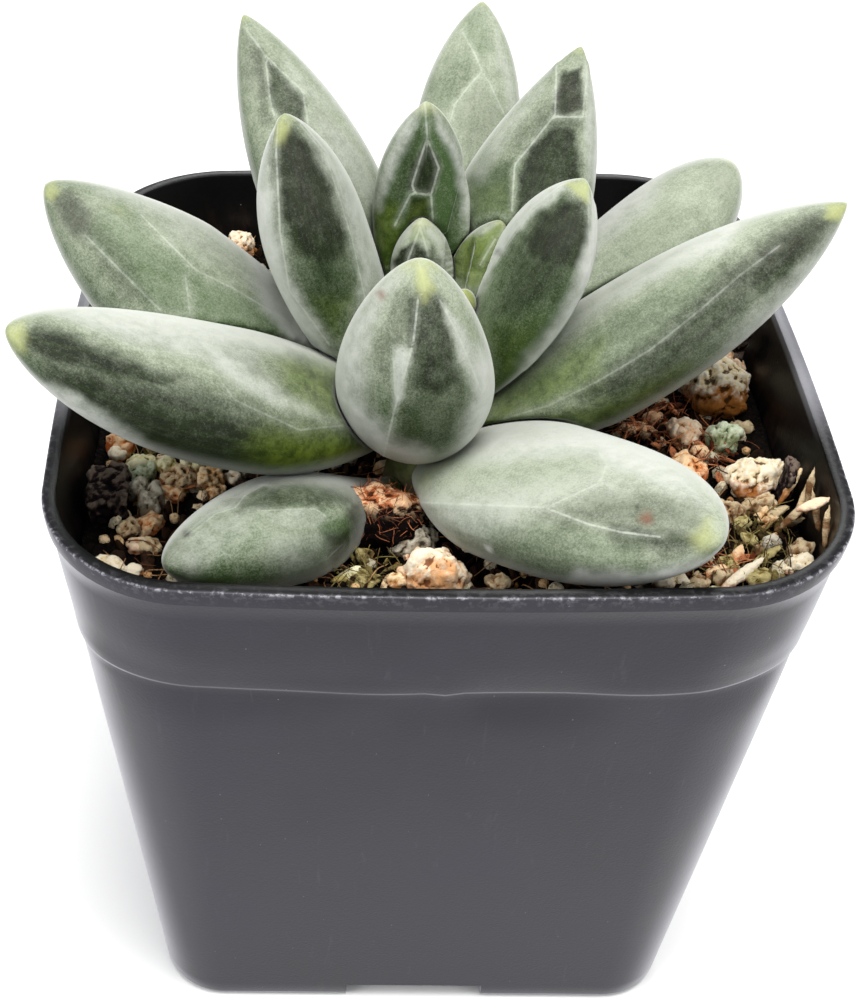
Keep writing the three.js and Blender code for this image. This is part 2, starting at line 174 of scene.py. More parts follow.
# Pale imprint lines left by the leaves that once lay folded together: how plain each is, and
# its places in the picture
IMPRINTS = {
    "leaf_09": [
        (0.5, [(419, 262), (425, 290)]),
        (0.85, [(418, 300), (413, 345), (396, 404), (384, 455)]),
        (0.3, [(393, 345), (413, 345)]),
        (0.5, [(393, 345), (396, 404)]),
        (0.6, [(440, 300), (460, 340), (480, 390)]),
    ],
    "leaf_13": [
        (0.7, [(279, 115), (276, 150), (280, 230), (290, 290), (330, 345)]),
        (0.45, [(300, 125), (325, 155), (340, 200), (352, 240), (365, 300)]),
    ],
    "leaf_15": [
        (0.75, [(425, 104), (427, 138), (412, 185), (415, 193), (410, 195), (395, 225)]),
        (0.7, [(427, 138), (439, 168), (431, 195), (433, 225)]),
        (0.6, [(415, 193), (431, 195)]),
    ],
    "leaf_16": [
        (0.6, [(420, 228), (407, 262)]),
        (0.6, [(420, 228), (428, 255)]),
    ],
    "leaf_17": [
        (0.5, [(495, 240), (480, 265)]),
    ],
    "leaf_14": [
        (0.45, [(562, 188), (532, 212), (508, 245), (488, 275), (470, 300)]),
        (0.4, [(588, 190), (590, 260), (585, 300), (560, 345), (528, 365)]),
    ],
    "leaf_11": [
        (0.7, [(557, 65), (555, 115), (515, 165), (512, 210)]),
        (0.6, [(587, 65), (583, 115)]),
        (0.7, [(555, 117), (583, 117)]),
    ],
    "leaf_10": [
        (0.6, [(245, 28), (265, 55), (285, 75), (303, 92), (308, 125)]),
        (0.6, [(266, 62), (270, 100), (275, 118)]),
    ],
    "leaf_12": [
        (0.7, [(463, 33), (475, 55), (482, 72), (470, 85), (455, 105), (451, 120)]),
        (0.6, [(482, 72), (490, 85), (503, 113)]),
    ],
    "leaf_05": [
        (0.3, [(70, 320), (140, 350), (200, 355), (235, 400), (300, 430), (345, 425)]),
    ],
    "leaf_07": [
        (0.6, [(140, 215), (175, 250), (195, 270), (235, 290), (285, 320)]),
        (0.5, [(85, 235), (120, 270), (160, 310)]),
        (0.4, [(185, 275), (190, 315)]),
    ],
    "leaf_08": [
        (0.3, [(600, 230), (620, 215)]),
    ],
    "leaf_06": [
        (0.3, [(690, 250), (650, 275), (600, 305), (560, 340)]),
        (0.4, [(780, 245), (740, 275), (700, 310), (650, 350), (600, 380), (550, 405), (500, 420)]),
    ],
    "leaf_01": [
        (0.8, [(415, 502), (470, 505), (545, 508), (590, 525), (620, 532), (660, 537)]),
        (0.55, [(545, 508), (575, 495), (600, 483), (607, 465), (597, 450), (585, 447), (520, 445)]),
        (0.4, [(660, 485), (695, 497)]),
    ],
    "leaf_02": [
        (0.5, [(190, 535), (215, 515), (235, 508), (245, 495), (262, 486)]),
        (0.45, [(258, 511), (315, 509), (325, 516)]),
        (0.3, [(326, 560), (343, 545)]),
    ],
}

# How much paler than the rest each leaf's bloom is
PALER = {
    "leaf_01": 0.2, "leaf_02": -0.2, "leaf_05": -0.05, "leaf_06": 0.1, "leaf_07": -0.05,
    "leaf_08": 0.12, "leaf_09": 0.08, "leaf_10": 0.02, "leaf_12": 0.08, "leaf_15": -0.1,
    "leaf_16": 0.35,
}

# Areas of a leaf's skin, in the picture: the tone, how strong it is, how soft its edge is and its
# outline. Dark skin has its bloom rubbed off, and many dark areas are also painted shade on lower
# and inner faces and between leaves. Grey skin is dusty, green skin has a thin bloom, pale skin a
# thick one and frost the thickest; many pale and frost areas are also painted light along outlines
# and on shaded flanks. Fresh skin is the yellow-green of young growth, and tip, rust and soot are
# the colours of a leaf's point, of a sore and of a speck of dirt.
ZONES = {
    "leaf_05": [
        ("pale", 0.75, 12, [(60, 314), (110, 306), (160, 311), (250, 333), (325, 353), (262, 350),
            (216, 346), (205, 357), (150, 346), (100, 331)]),
        ("pale", 0.8, 10, [(200, 350), (214, 346), (255, 350), (262, 374), (296, 402), (345, 427),
            (300, 414), (236, 386)]),
        ("dark", 1, 14, [(18, 336), (34, 325), (66, 330), (104, 346), (150, 366), (195, 380), (150, 390),
            (100, 380), (60, 368), (26, 354)]),
        ("dark", 1, 30, [(40, 350), (90, 362), (150, 376), (220, 395), (270, 416), (390, 440), (370, 500),
            (230, 500), (130, 470), (75, 428), (40, 385)]),
        ("dark", 0.4, 20, [(225, 350), (262, 350), (280, 385), (250, 378)]),
        ("fresh", 0.65, 20, [(276, 354), (320, 352), (345, 358), (346, 400), (356, 428), (316, 412),
            (284, 392)]),
        ("fresh", 0.6, 20, [(306, 352), (320, 350), (350, 358), (350, 400), (360, 430), (326, 412)]),
        ("fresh", 0.95, 40, [(262, 440), (345, 430), (395, 462), (330, 490), (250, 482)]),
        ("dark", 0.3, 20, [(240, 355), (300, 352), (340, 370), (345, 420), (290, 412), (255, 390)]),
        ("dark", 0.3, 20, [(290, 395), (345, 420), (395, 445), (380, 475), (300, 480), (270, 440)]),
        ("pale", 0.85, 8, [(46, 386), (70, 410), (110, 438), (165, 462), (124, 428), (78, 396)]),
        ("tip", 0.9, 10, [(0, 335), (22, 322), (24, 352), (14, 350)]),
    ],
    "leaf_07": [
        ("grey", 1, 12, [(50, 192), (72, 190), (94, 210), (98, 238), (76, 242), (58, 225)]),
        ("dark", 0.6, 10, [(52, 194), (70, 192), (90, 212), (90, 232), (74, 236), (60, 222)]),
        ("dark", 0.45, 16, [(84, 245), (108, 228), (132, 262), (152, 304), (120, 304), (98, 272)]),
        ("pale", 0.3, 16, [(150, 208), (200, 225), (250, 258), (270, 290), (215, 262), (175, 240)]),
        ("green", 0.6, 10, [(85, 235), (100, 215), (140, 228), (190, 270), (185, 290), (190, 316),
            (150, 305), (120, 270)]),
        ("green", 0.7, 8, [(190, 275), (240, 292), (290, 322), (300, 336), (240, 327), (196, 320)]),
        ("pale", 0.4, 10, [(95, 190), (150, 198), (205, 224), (250, 262), (205, 236), (150, 212)]),
        ("fresh", 0.35, 5, [(100, 205), (122, 205), (140, 222), (118, 217)]),
        ("pale", 0.9, 10, [(250, 245), (275, 275), (300, 320), (328, 352), (296, 342), (268, 312),
            (248, 280)]),
        ("frost_and_highlight", 0.6, 10, [(255, 255), (275, 275), (300, 320), (328, 352), (296, 342), (268, 312)]),
        ("tip", 0.7, 6, [(42, 188), (52, 184), (60, 190), (54, 199), (44, 196)]),
    ],
    "leaf_10": [
        ("dark", 0.85, 4, [(266, 58), (285, 78), (300, 92), (306, 105), (306, 126), (290, 124),
            (276, 112), (268, 90)]),
        ("grey", 0.7, 8, [(243, 32), (262, 52), (268, 96), (256, 100), (243, 80)]),
        ("dark", 0.5, 8, [(250, 40), (266, 54), (270, 100), (272, 130), (260, 120), (258, 80)]),
        ("pale", 0.4, 14, [(285, 60), (310, 85), (335, 105), (322, 108), (300, 90)]),
        ("dark", 0.2, 14, [(318, 110), (345, 130), (350, 160), (328, 140)]),
        ("pale", 0.5, 18, [(340, 130), (355, 145), (370, 165), (376, 210), (345, 180), (316, 120)]),
        ("grey", 0.4, 14, [(310, 100), (330, 110), (352, 150), (340, 160), (315, 130)]),
    ],
    "leaf_13": [
        ("pale", 0.6, 8, [(264, 135), (275, 144), (276, 225), (252, 240), (252, 190)]),
        ("pale", 0.8, 14, [(250, 215), (277, 220), (291, 285), (336, 354), (284, 318), (254, 250)]),
        ("dark", 1, 12, [(274, 130), (296, 126), (319, 150), (334, 188), (347, 225), (350, 260),
            (322, 270), (292, 256), (279, 220), (274, 190)]),
        ("dark", 0.78, 40, [(282, 200), (352, 200), (352, 290), (340, 322), (324, 330), (302, 290)]),
        ("dark", 0.9, 8, [(278, 132), (300, 130), (306, 165), (298, 205), (280, 205)]),
        ("grey", 0.6, 18, [(284, 136), (306, 138), (324, 175), (334, 220), (306, 236), (286, 205)]),
        ("green", 0.7, 22, [(300, 245), (350, 240), (356, 300), (335, 338), (312, 300)]),
        ("fresh", 0.35, 10, [(312, 298), (357, 295), (342, 345), (322, 332)]),
        ("pale", 0.6, 10, [(310, 136), (342, 170), (362, 215), (374, 270), (374, 312), (362, 320),
            (360, 280), (350, 230), (335, 185)]),
        ("frost_and_highlight", 0.5, 10, [(250, 190), (268, 190), (272, 235), (291, 290), (330, 354), (284, 318),
            (254, 250)]),
        ("tip", 0.8, 7, [(274, 120), (291, 124), (286, 140), (276, 143)]),
    ],
    "leaf_15": [
        ("green", 0.75, 8, [(385, 175), (425, 108), (462, 165), (466, 230), (455, 262), (380, 265)]),
        ("pale", 0.7, 6, [(425, 102), (402, 125), (383, 165), (372, 205), (382, 210), (394, 172),
            (412, 135)]),
        ("pale", 0.8, 6, [(430, 104), (452, 135), (469, 175), (471, 228), (462, 215), (458, 175),
            (444, 140)]),
        ("dark", 1, 3, [(427, 138), (440, 166), (432, 197), (406, 190), (413, 162)]),
        ("dark", 0.5, 10, [(400, 150), (421, 128), (419, 160), (411, 190), (404, 235), (388, 210)]),
        ("fresh", 0.8, 10, [(376, 200), (396, 205), (402, 240), (386, 275), (372, 240)]),
        ("dark", 1, 4, [(410, 197), (431, 197), (432, 224), (404, 226)]),
        ("fresh", 0.35, 4, [(410, 197), (431, 197), (432, 224), (404, 226)]),
    ],
    "leaf_12": [
        ("green", 0.35, 8, [(450, 50), (470, 45), (480, 72), (460, 95), (440, 118), (428, 100)]),
        ("grey", 0.5, 5, [(481, 80), (501, 112), (490, 140), (470, 160), (458, 140), (457, 110)]),
        ("green", 0.5, 8, [(466, 15), (484, 12), (490, 50), (484, 66), (466, 40)]),
        ("pale", 0.5, 8, [(496, 30), (508, 60), (522, 108), (512, 112), (500, 66)]),
        ("dark", 0.2, 12, [(450, 60), (470, 60), (480, 80), (462, 100), (445, 100)]),
    ],
    "leaf_11": [
        ("pale", 0.45, 10, [(468, 178), (496, 132), (535, 88), (548, 72), (530, 104), (505, 140),
            (480, 180)]),
        ("dark", 0.4, 10, [(510, 140), (540, 100), (552, 100), (552, 118), (518, 158)]),
        ("dark", 0.95, 4, [(560, 70), (583, 66), (583, 112), (553, 116), (556, 90)]),
        ("grey", 0.5, 4, [(560, 75), (583, 70), (583, 112), (553, 115), (556, 90)]),
        ("dark", 0.6, 12, [(535, 112), (583, 110), (582, 130), (530, 145)]),
        ("dark", 1, 6, [(545, 132), (565, 124), (577, 130), (581, 155), (580, 184), (548, 192),
            (515, 217), (517, 175), (527, 150)]),
        ("green", 0.6, 10, [(515, 165), (545, 160), (550, 185), (515, 214)]),
        ("green", 0.9, 8, [(470, 177), (512, 160), (510, 214), (473, 218)]),
        ("dark", 0.35, 10, [(490, 172), (513, 158), (512, 214), (485, 216)]),
        ("fresh", 0.3, 8, [(470, 190), (512, 180), (510, 214), (473, 218)]),
        ("pale", 0.6, 4, [(585, 58), (595, 100), (597, 182), (586, 182), (586, 120)]),
    ],
    "leaf_14": [
        ("green", 0.7, 14, [(470, 300), (505, 240), (560, 190), (592, 240), (575, 320), (505, 388)]),
        ("dark", 1, 12, [(560, 197), (588, 200), (592, 240), (583, 272), (556, 270), (522, 262),
            (520, 238), (538, 212)]),
        ("grey", 0.5, 12, [(535, 212), (578, 204), (586, 240), (560, 257), (522, 250)]),
        ("dark", 0.85, 26, [(508, 245), (560, 240), (576, 270), (560, 300), (520, 315), (500, 310),
            (508, 270)]),
        ("dark", 0.2, 26, [(486, 300), (560, 290), (556, 325), (525, 352), (500, 376), (486, 362)]),
        ("fresh", 0.4, 20, [(486, 325), (540, 325), (522, 372), (500, 390)]),
        ("pale", 0.75, 4, [(562, 182), (530, 196), (503, 224), (480, 262), (464, 304), (478, 296),
            (505, 249), (531, 217), (564, 191)]),
        ("pale", 1, 12, [(590, 255), (600, 290), (580, 342), (550, 374), (508, 398), (526, 360),
            (552, 328), (574, 292)]),
        ("frost_and_highlight", 0.6, 10, [(592, 225), (600, 290), (580, 342), (550, 374), (508, 398), (530, 362),
            (556, 330), (578, 292)]),
        ("pale", 0.8, 4, [(589, 196), (597, 200), (600, 245), (592, 262), (590, 225)]),
        ("tip", 0.85, 5, [(562, 182), (592, 180), (589, 202), (572, 191)]),
        ("soot", 0.9, 3, [(496, 248), (502, 248), (502, 254), (496, 254)]),
    ],
    "leaf_16": [
        ("green", 0.3, 6, [(400, 236), (420, 226), (436, 242), (442, 268), (394, 268)]),
        ("pale", 0.5, 6, [(418, 220), (395, 240), (385, 270), (394, 268), (405, 242), (420, 228),
            (436, 242), (444, 268), (452, 268), (442, 240)]),
        ("dark", 1, 3, [(414, 240), (428, 254), (434, 268), (390, 268), (402, 248)]),
        ("dark", 0.6, 4, [(430, 246), (444, 262), (446, 270), (424, 270)]),
        ("fresh", 0.7, 3, [(412, 226), (426, 226), (426, 240), (412, 240)]),
    ],
    "leaf_17": [
        ("fresh", 0.85, 5, [(452, 240), (478, 224), (503, 222), (498, 262), (475, 290), (450, 278)]),
        ("dark", 0.6, 3, [(462, 248), (487, 238), (482, 270), (462, 274)]),
        ("pale", 0.5, 4, [(455, 238), (478, 223), (502, 222), (490, 228), (466, 240)]),
    ],
    "bud": [
        ("tip", 0.8, 4, [(440, 265), (480, 265), (480, 310), (440, 310)]),
    ],
    "leaf_09": [
        ("pale", 0.95, 16, [(338, 345), (375, 292), (398, 274), (380, 305), (366, 340), (360, 405),
            (366, 440), (350, 430), (336, 385)]),
        ("pale", 0.6, 8, [(345, 338), (376, 322), (372, 350), (348, 352)]),
        ("dark", 0.9, 12, [(406, 292), (430, 288), (446, 300), (456, 338), (464, 385), (440, 400),
            (408, 392), (413, 350), (402, 340)]),
        ("dark", 0.45, 14, [(396, 290), (414, 294), (410, 345), (392, 350), (388, 380), (372, 370)]),
        ("dark", 0.5, 14, [(420, 300), (446, 320), (458, 350), (468, 385), (480, 412), (462, 436),
            (440, 452), (392, 452), (400, 410), (411, 372), (416, 330)]),
        ("green", 0.35, 16, [(420, 375), (480, 375), (484, 420), (440, 458), (392, 456)]),
        ("pale", 0.85, 3, [(393, 350), (402, 346), (412, 349), (409, 366), (401, 396), (395, 412),
            (396, 380)]),
        ("pale", 0.7, 4, [(443, 303), (455, 318), (476, 352), (491, 398), (489, 414), (470, 378),
            (452, 337)]),
        ("pale", 0.95, 14, [(466, 345), (492, 370), (495, 412), (478, 440), (460, 454), (466, 425),
            (476, 400)]),
        ("pale", 0.75, 12, [(338, 395), (372, 446), (420, 466), (430, 452), (396, 440), (362, 400)]),
        ("frost_and_highlight", 0.4, 10, [(338, 395), (372, 446), (420, 466), (430, 456), (390, 442), (356, 405)]),
        ("frost_and_highlight", 0.35, 10, [(478, 345), (492, 370), (495, 412), (478, 440), (462, 448), (480, 400)]),
        ("tip", 0.9, 7, [(413, 264), (428, 264), (434, 288), (424, 302), (417, 284)]),
        ("rust", 0.6, 4, [(376, 294), (383, 292), (385, 299), (379, 301)]),
    ],
    "leaf_08": [
        ("pale", 1, 16, [(594, 206), (630, 190), (660, 170), (652, 200), (620, 225), (596, 245)]),
        ("green", 0.35, 16, [(630, 235), (668, 205), (692, 212), (662, 246), (610, 275)]),
        ("grey", 0.5, 12, [(705, 165), (735, 165), (736, 200), (712, 196)]),
    ],
    "leaf_06": [
        ("pale", 0.9, 12, [(728, 220), (742, 226), (722, 252), (682, 264), (640, 286), (600, 308),
            (560, 340), (542, 354), (575, 313), (640, 275), (690, 244)]),
        ("green", 0.6, 14, [(575, 340), (640, 300), (700, 270), (725, 265), (695, 305), (650, 346),
            (600, 380), (550, 402), (498, 418), (498, 390), (540, 368)]),
        ("dark", 0.85, 20, [(762, 250), (758, 300), (727, 332), (692, 362), (652, 392), (600, 408),
            (570, 400), (604, 368), (656, 330), (698, 292), (728, 260)]),
        ("fresh", 0.75, 26, [(495, 402), (545, 366), (600, 343), (592, 382), (540, 406), (498, 420)]),
        ("dark", 0.95, 18, [(838, 212), (815, 214), (785, 225), (755, 244), (742, 276), (738, 292),
            (752, 300), (784, 290), (814, 258), (832, 230)]),
        ("grey", 0.5, 10, [(838, 214), (815, 217), (785, 230), (758, 250), (750, 275), (800, 255)]),
        ("dark", 0.35, 20, [(560, 350), (620, 316), (700, 285), (690, 315), (620, 345), (575, 372)]),
        ("dark", 0.25, 22, [(590, 365), (650, 325), (700, 300), (718, 300), (700, 335), (640, 370)]),
        ("dark", 0.7, 12, [(705, 345), (690, 375), (640, 410), (600, 428), (520, 424), (565, 411),
            (620, 399), (668, 374)]),
        ("fresh", 0.5, 14, [(690, 365), (640, 410), (600, 430), (498, 426), (560, 411), (620, 397)]),
        ("pale", 0.55, 10, [(848, 213), (802, 290), (760, 327), (716, 362), (738, 328), (780, 290),
            (822, 243)]),
        ("tip", 0.9, 5, [(828, 204), (850, 205), (842, 222), (826, 216)]),
    ],
    "leaf_01": [
        ("pale", 0.95, 16, [(450, 440), (500, 428), (592, 430), (655, 453), (695, 488), (706, 505),
            (655, 484), (606, 466), (595, 452), (480, 462)]),
        ("pale", 0.5, 24, [(420, 500), (470, 490), (560, 480), (600, 470), (640, 484), (560, 505),
            (480, 540), (440, 535)]),
        ("green", 0.1, 16, [(480, 465), (588, 460), (596, 474), (560, 495), (480, 498)]),
        ("fresh", 1, 14, [(394, 460), (440, 436), (470, 436), (446, 462), (412, 482)]),
        ("dark", 0.6, 22, [(540, 512), (600, 490), (662, 490), (700, 506), (708, 530), (690, 536),
            (640, 532), (560, 530)]),
        ("green", 0.6, 14, [(470, 520), (560, 520), (640, 541), (642, 560), (560, 566), (490, 550)]),
        ("dark", 0.3, 18, [(480, 518), (560, 524), (600, 545), (560, 560), (490, 548)]),
        ("dark", 0.9, 18, [(604, 520), (650, 522), (706, 530), (704, 552), (660, 554), (614, 544)]),
        ("pale", 1, 10, [(560, 584), (640, 594), (700, 584), (720, 556), (702, 560), (640, 574),
            (580, 570)]),
        ("frost_and_highlight", 0.6, 8, [(560, 584), (640, 596), (700, 586), (716, 564), (690, 572), (640, 579),
            (580, 574)]),
        ("rust", 0.75, 4, [(641, 512), (649, 511), (652, 519), (645, 523), (639, 519)]),
        ("soot", 0.6, 3, [(636, 503), (641, 503), (641, 507), (636, 507)]),
        ("frost_and_highlight", 1, 3, [(484, 545), (490, 546), (492, 551), (486, 549)]),
        ("tip", 0.8, 12, [(690, 536), (708, 520), (718, 540), (702, 552)]),
    ],
    "leaf_02": [
        ("pale", 0.3, 16, [(172, 552), (190, 525), (240, 500), (270, 500), (240, 540), (190, 580)]),
        ("green", 0.15, 20, [(190, 540), (230, 515), (275, 515), (260, 560), (200, 580)]),
        ("green", 0.8, 6, [(322, 520), (353, 518), (353, 546), (325, 548)]),
        ("dark", 0.95, 6, [(326, 535), (350, 525), (352, 555), (328, 573)]),
        ("pale", 0.25, 4, [(258, 511), (312, 510), (326, 517), (322, 528), (268, 526)]),
        ("dark", 0.7, 8, [(222, 500), (262, 476), (310, 466), (362, 472), (364, 506), (300, 506),
            (240, 512)]),
        ("pale", 0.35, 24, [(270, 540), (325, 535), (326, 575), (280, 580)]),
        ("grey", 0.7, 14, [(155, 540), (185, 530), (205, 560), (190, 590), (155, 590)]),
        ("dark", 1, 8, [(344, 472), (400, 474), (400, 502), (356, 502)]),
        ("dark", 1, 10, [(350, 500), (385, 496), (385, 560), (345, 556)]),
        ("soot", 0.9, 3, [(185, 532), (191, 532), (191, 538), (185, 538)]),
    ],
}

TONES = ("dark", "fresh", "pale", "grey", "green", "tip", "rust", "soot", "frost_and_highlight")
EDGE_SOFTNESS = 1.8

# Imprint lines on the sides that the picture hides, as places along and angles round a leaf
HIDDEN_LINES = [
    [(0.93, 262), (0.78, 246), (0.55, 232), (0.3, 228)],
    [(0.93, 262), (0.8, 284), (0.6, 301), (0.34, 306)],
    [(0.66, 239), (0.62, 262), (0.66, 296)],
]
HIDDEN_PLAINNESS = 0.6
IMPRINT_SPACING = 2.0
LINE_BREAK = 1.5
RIDGE_WIDTH = 1.1
RIDGE_HEIGHT = 0.14
RUBBED_DEPTH = 0.12
TIP_GLOW = 0.45
PLAIN_TIPS = ("leaf_01", "leaf_02")
# How much paler the bloom is on the tops of leaves and how much darker underneath: painted top light and
# underside shade
TOP_BLOOM_AND_LIGHT = 0.3
UNDERSIDE_BLOOM_AND_SHADE = -0.36
FOOT_GLOW_REACH = 0.2

# Loose pieces on the soil and the finish of each
STONES = {
    "stone_amber": "amber", "stone_yellow": "ochre", "stone_grey": "ash",
    "bark_stub": "bark", "stone_mottled": "mottled", "grit_tan": "tan",
    "stone_pink": "pink", "flake_cream": "cream", "crust_red": "rust",
    "tuft_olive": "olive", "stone_cracked": "peach", "grit_pink": "pink",
    "stone_pumice": "pumice", "chip_brown": "bark", "stone_tan": "peach",
    "stone_green": "moss", "clump_fibre": "rust", "stone_orange": "amber",
    "stone_cream": "cream", "stone_sand_a": "tan", "stone_sand_b": "tan",
    "chip_wall": "bark", "stone_pale": "cream", "splinter": "ochre",
    "flake_olive": "olive", "grit_brown": "mottled", "stone_back_a": "tan",
    "stone_back_b": "mottled", "stone_back_c": "cream", "stone_back_d": "amber",
    "stone_back_e": "ash",
}
NODE_SLOTS = {part["node"]: part["material_slot"] for part in frame["record"]["subparts"]}
STONE_VOXEL = 0.15
STONE_RELIEF = 0.42
# A point this far out of the smoothed skin is all ridge, and this far below it all hollow
HOLLOW_SCALE = 0.14
SMOOTHING_ROUNDS = 9
# How much a stone's tone also follows the way back, next to the way up, so that its painted top light also
# favours the back and its painted shade the front
STONE_LEAN = 0.5
# The crust leans further, so its low front takes the near black of its painted shade
CRUST_LEAN = 0.75
# How pebbles sink in, and how they keep off the pot's wall
SINK = 0.3
WALL_GAP = 0.2
WALL_SLOPE = (RIM_HALF - BASE_HALF) / POT_HEIGHT

# The squares of soil that rubble is strewn on
PATCH_REACH = 28.5
PATCH_STEP = 0.8
PATCH_EDGE = 0.6


def add_object(name, data):
    made = bpy.data.objects.new(name, data)
    bpy.context.scene.collection.objects.link(made)
    return made


def root_piece(name, mesh, material, slot_name, *nodes):
    """Puts a finished mesh in the scene as one piece of the part."""
    piece = add_object(name, mesh)
    mesh.materials.clear()
    mesh.materials.append(material)
    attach(piece, "root")
    if nodes:
        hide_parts(*nodes)
    return piece


def make_mesh(name, points, faces):
    mesh = bpy.data.meshes.new(name)
    mesh.from_pydata([tuple(p) for p in points], [], faces)
    mesh.validate()
    mesh.shade_smooth()
    return mesh


def mesh_vectors(mesh, key="co"):
    """The places of a mesh's points, or their normals."""
    values = np.empty(len(mesh.vertices) * 3)
    mesh.vertices.foreach_get(key, values)
    return values.reshape(-1, 3)


def set_points(mesh, points):
    mesh.vertices.foreach_set("co", np.asarray(points, np.float32).ravel())
    mesh.update()


def write_marks(mesh, name, *marks):
    """Keeps up to three values of each point as a colour attribute."""
    values = np.ones((len(mesh.vertices), 4), np.float32)
    values[:, :len(marks)] = np.stack(marks, 1)
    attribute = mesh.attributes.new(name, "FLOAT_COLOR", "POINT")
    attribute.data.foreach_set("color", values.ravel())


def loft_faces(rings, sides):
    """Quads between rings of equally many points, closed by fans to two end points.

    The end points follow the rings in the list of points: first the start, then the end.
    """
    faces = []
    start = rings * sides
    end = start + 1
    for i in range(sides):
        j = (i + 1) % sides
        faces.append((start, j, i))
        last = (rings - 1) * sides
        faces.append((end, last + i, last + j))
        for r in range(rings - 1):
            a = r * sides
            faces.append((a + i, a + j, a + sides + j, a + sides + i))
    return faces


def smooth_step(value, low, high):
    share = np.clip((value - low) / (high - low), 0, 1)
    return share * share * (3 - 2 * share)


# Camera, floor and light

def camera_axes():
    turn = Matrix.Rotation(math.radians(90 - CAMERA_RISE), 3, "X")
    turn = turn @ Matrix.Rotation(math.radians(CAMERA_ROLL), 3, "Z")
    place = Vector(CAMERA_AIM) + turn @ Vector((0, 0, CAMERA_DISTANCE))
    return turn, place


CAMERA_TURN, CAMERA_PLACE = camera_axes()


def picture_ray(x, y):
    """The way from the camera through a place in the picture."""
    across = (x - LENS_CENTRE[0]) / LENS_PIXELS
    upwards = (LENS_CENTRE[1] - y) / LENS_PIXELS
    return (CAMERA_TURN @ Vector((across, upwards, -1))).normalized()


def in_picture(points):
    """Where points in millimetres are in the picture."""
    turn = np.array(CAMERA_TURN)
    seen = (points - np.array(CAMERA_PLACE)) @ turn
    x = LENS_CENTRE[0] + LENS_PIXELS * seen[:, 0] / -seen[:, 2]
    y = LENS_CENTRE[1] - LENS_PIXELS * seen[:, 1] / -seen[:, 2]
    return np.stack([x, y], 1)


def make_camera():
    data = bpy.data.cameras.new("camera")
    data.sensor_width = SENSOR_WIDTH
    data.lens = SENSOR_WIDTH * LENS_PIXELS / PICTURE_HEIGHT
    data.shift_x = (PICTURE_WIDTH / 2 - LENS_CENTRE[0]) / PICTURE_HEIGHT
    data.shift_y = (LENS_CENTRE[1] - PICTURE_HEIGHT / 2) / PICTURE_HEIGHT
    data.clip_start = 0.005
    camera = add_object("camera", data)
    camera.matrix_world = Matrix.Translation(CAMERA_PLACE * MM) @ CAMERA_TURN.to_4x4()
    bpy.context.scene.camera = camera


def make_light(name, place, size, power, colour=(1, 1, 1)):
    data = bpy.data.lights.new(name, "AREA")
    data.shape = "DISK"
    data.size = size
    data.energy = power
    data.color = colour
    light = add_object(name, data)
    light.location = place
    way = Vector(LIT_PLACE) - Vector(place)
    light.rotation_euler = way.to_track_quat("-Z", "Y").to_euler()


def make_studio():
    scene = bpy.context.scene
    scene.view_settings.view_transform = "Standard"
    world = bpy.data.worlds.new("soft_room")
    world.use_nodes = True
    backdrop = world.node_tree.nodes["Background"]
    backdrop.inputs["Color"].default_value = (0.95, 0.97, 1, 1)
    backdrop.inputs["Strength"].default_value = 0.5
    scene.world = world
    make_light("key", (0.04, -0.1, 0.6), 0.32, 3.2, (1, 0.99, 0.97))
    make_light("left", (-0.42, -0.22, 0.4), 0.4, 2.1)
    make_light("right", (0.42, -0.22, 0.4), 0.4, 1.4)
    make_light("rear", (0.05, 0.45, 0.35), 0.3, 1)
    half = 1.5
    floor_mesh = make_mesh(
        "floor", [(-half, -half, 0), (half, -half, 0), (half, half, 0), (-half, half, 0)],
        [(0, 1, 2, 3)],
    )
    floor_mesh.materials.append(plain_finish("pale_floor", (0.86, 0.86, 0.86), 0.8))
    add_object("floor", floor_mesh)


# Materials

def srgb(red, green, blue):
    """A colour given as 0-255 on a screen, as light."""
    values = []
    for part in (red, green, blue):
        share = part / 255
        values.append(share / 12.92 if share < 0.04045 else ((share + 0.055) / 1.055) ** 2.4)
    return (*values, 1)


class Graph:
    """A tree of nodes being made: short ways to add and join them."""

    def __init__(self, tree):
        self.nodes = tree.nodes
        self.links = tree.links

    def node(self, kind, inputs=None, **settings):
        """Adds a node, with a value or another node's socket for each input given."""
        made = self.nodes.new(kind)
        for key, value in settings.items():
            setattr(made, key, value)
        for key, value in (inputs or {}).items():
            self.feed(value, made.inputs[key])
        return made

    def feed(self, value, socket):
        if isinstance(value, bpy.types.NodeSocket):
            self.links.new(value, socket)
        else:
            socket.default_value = value


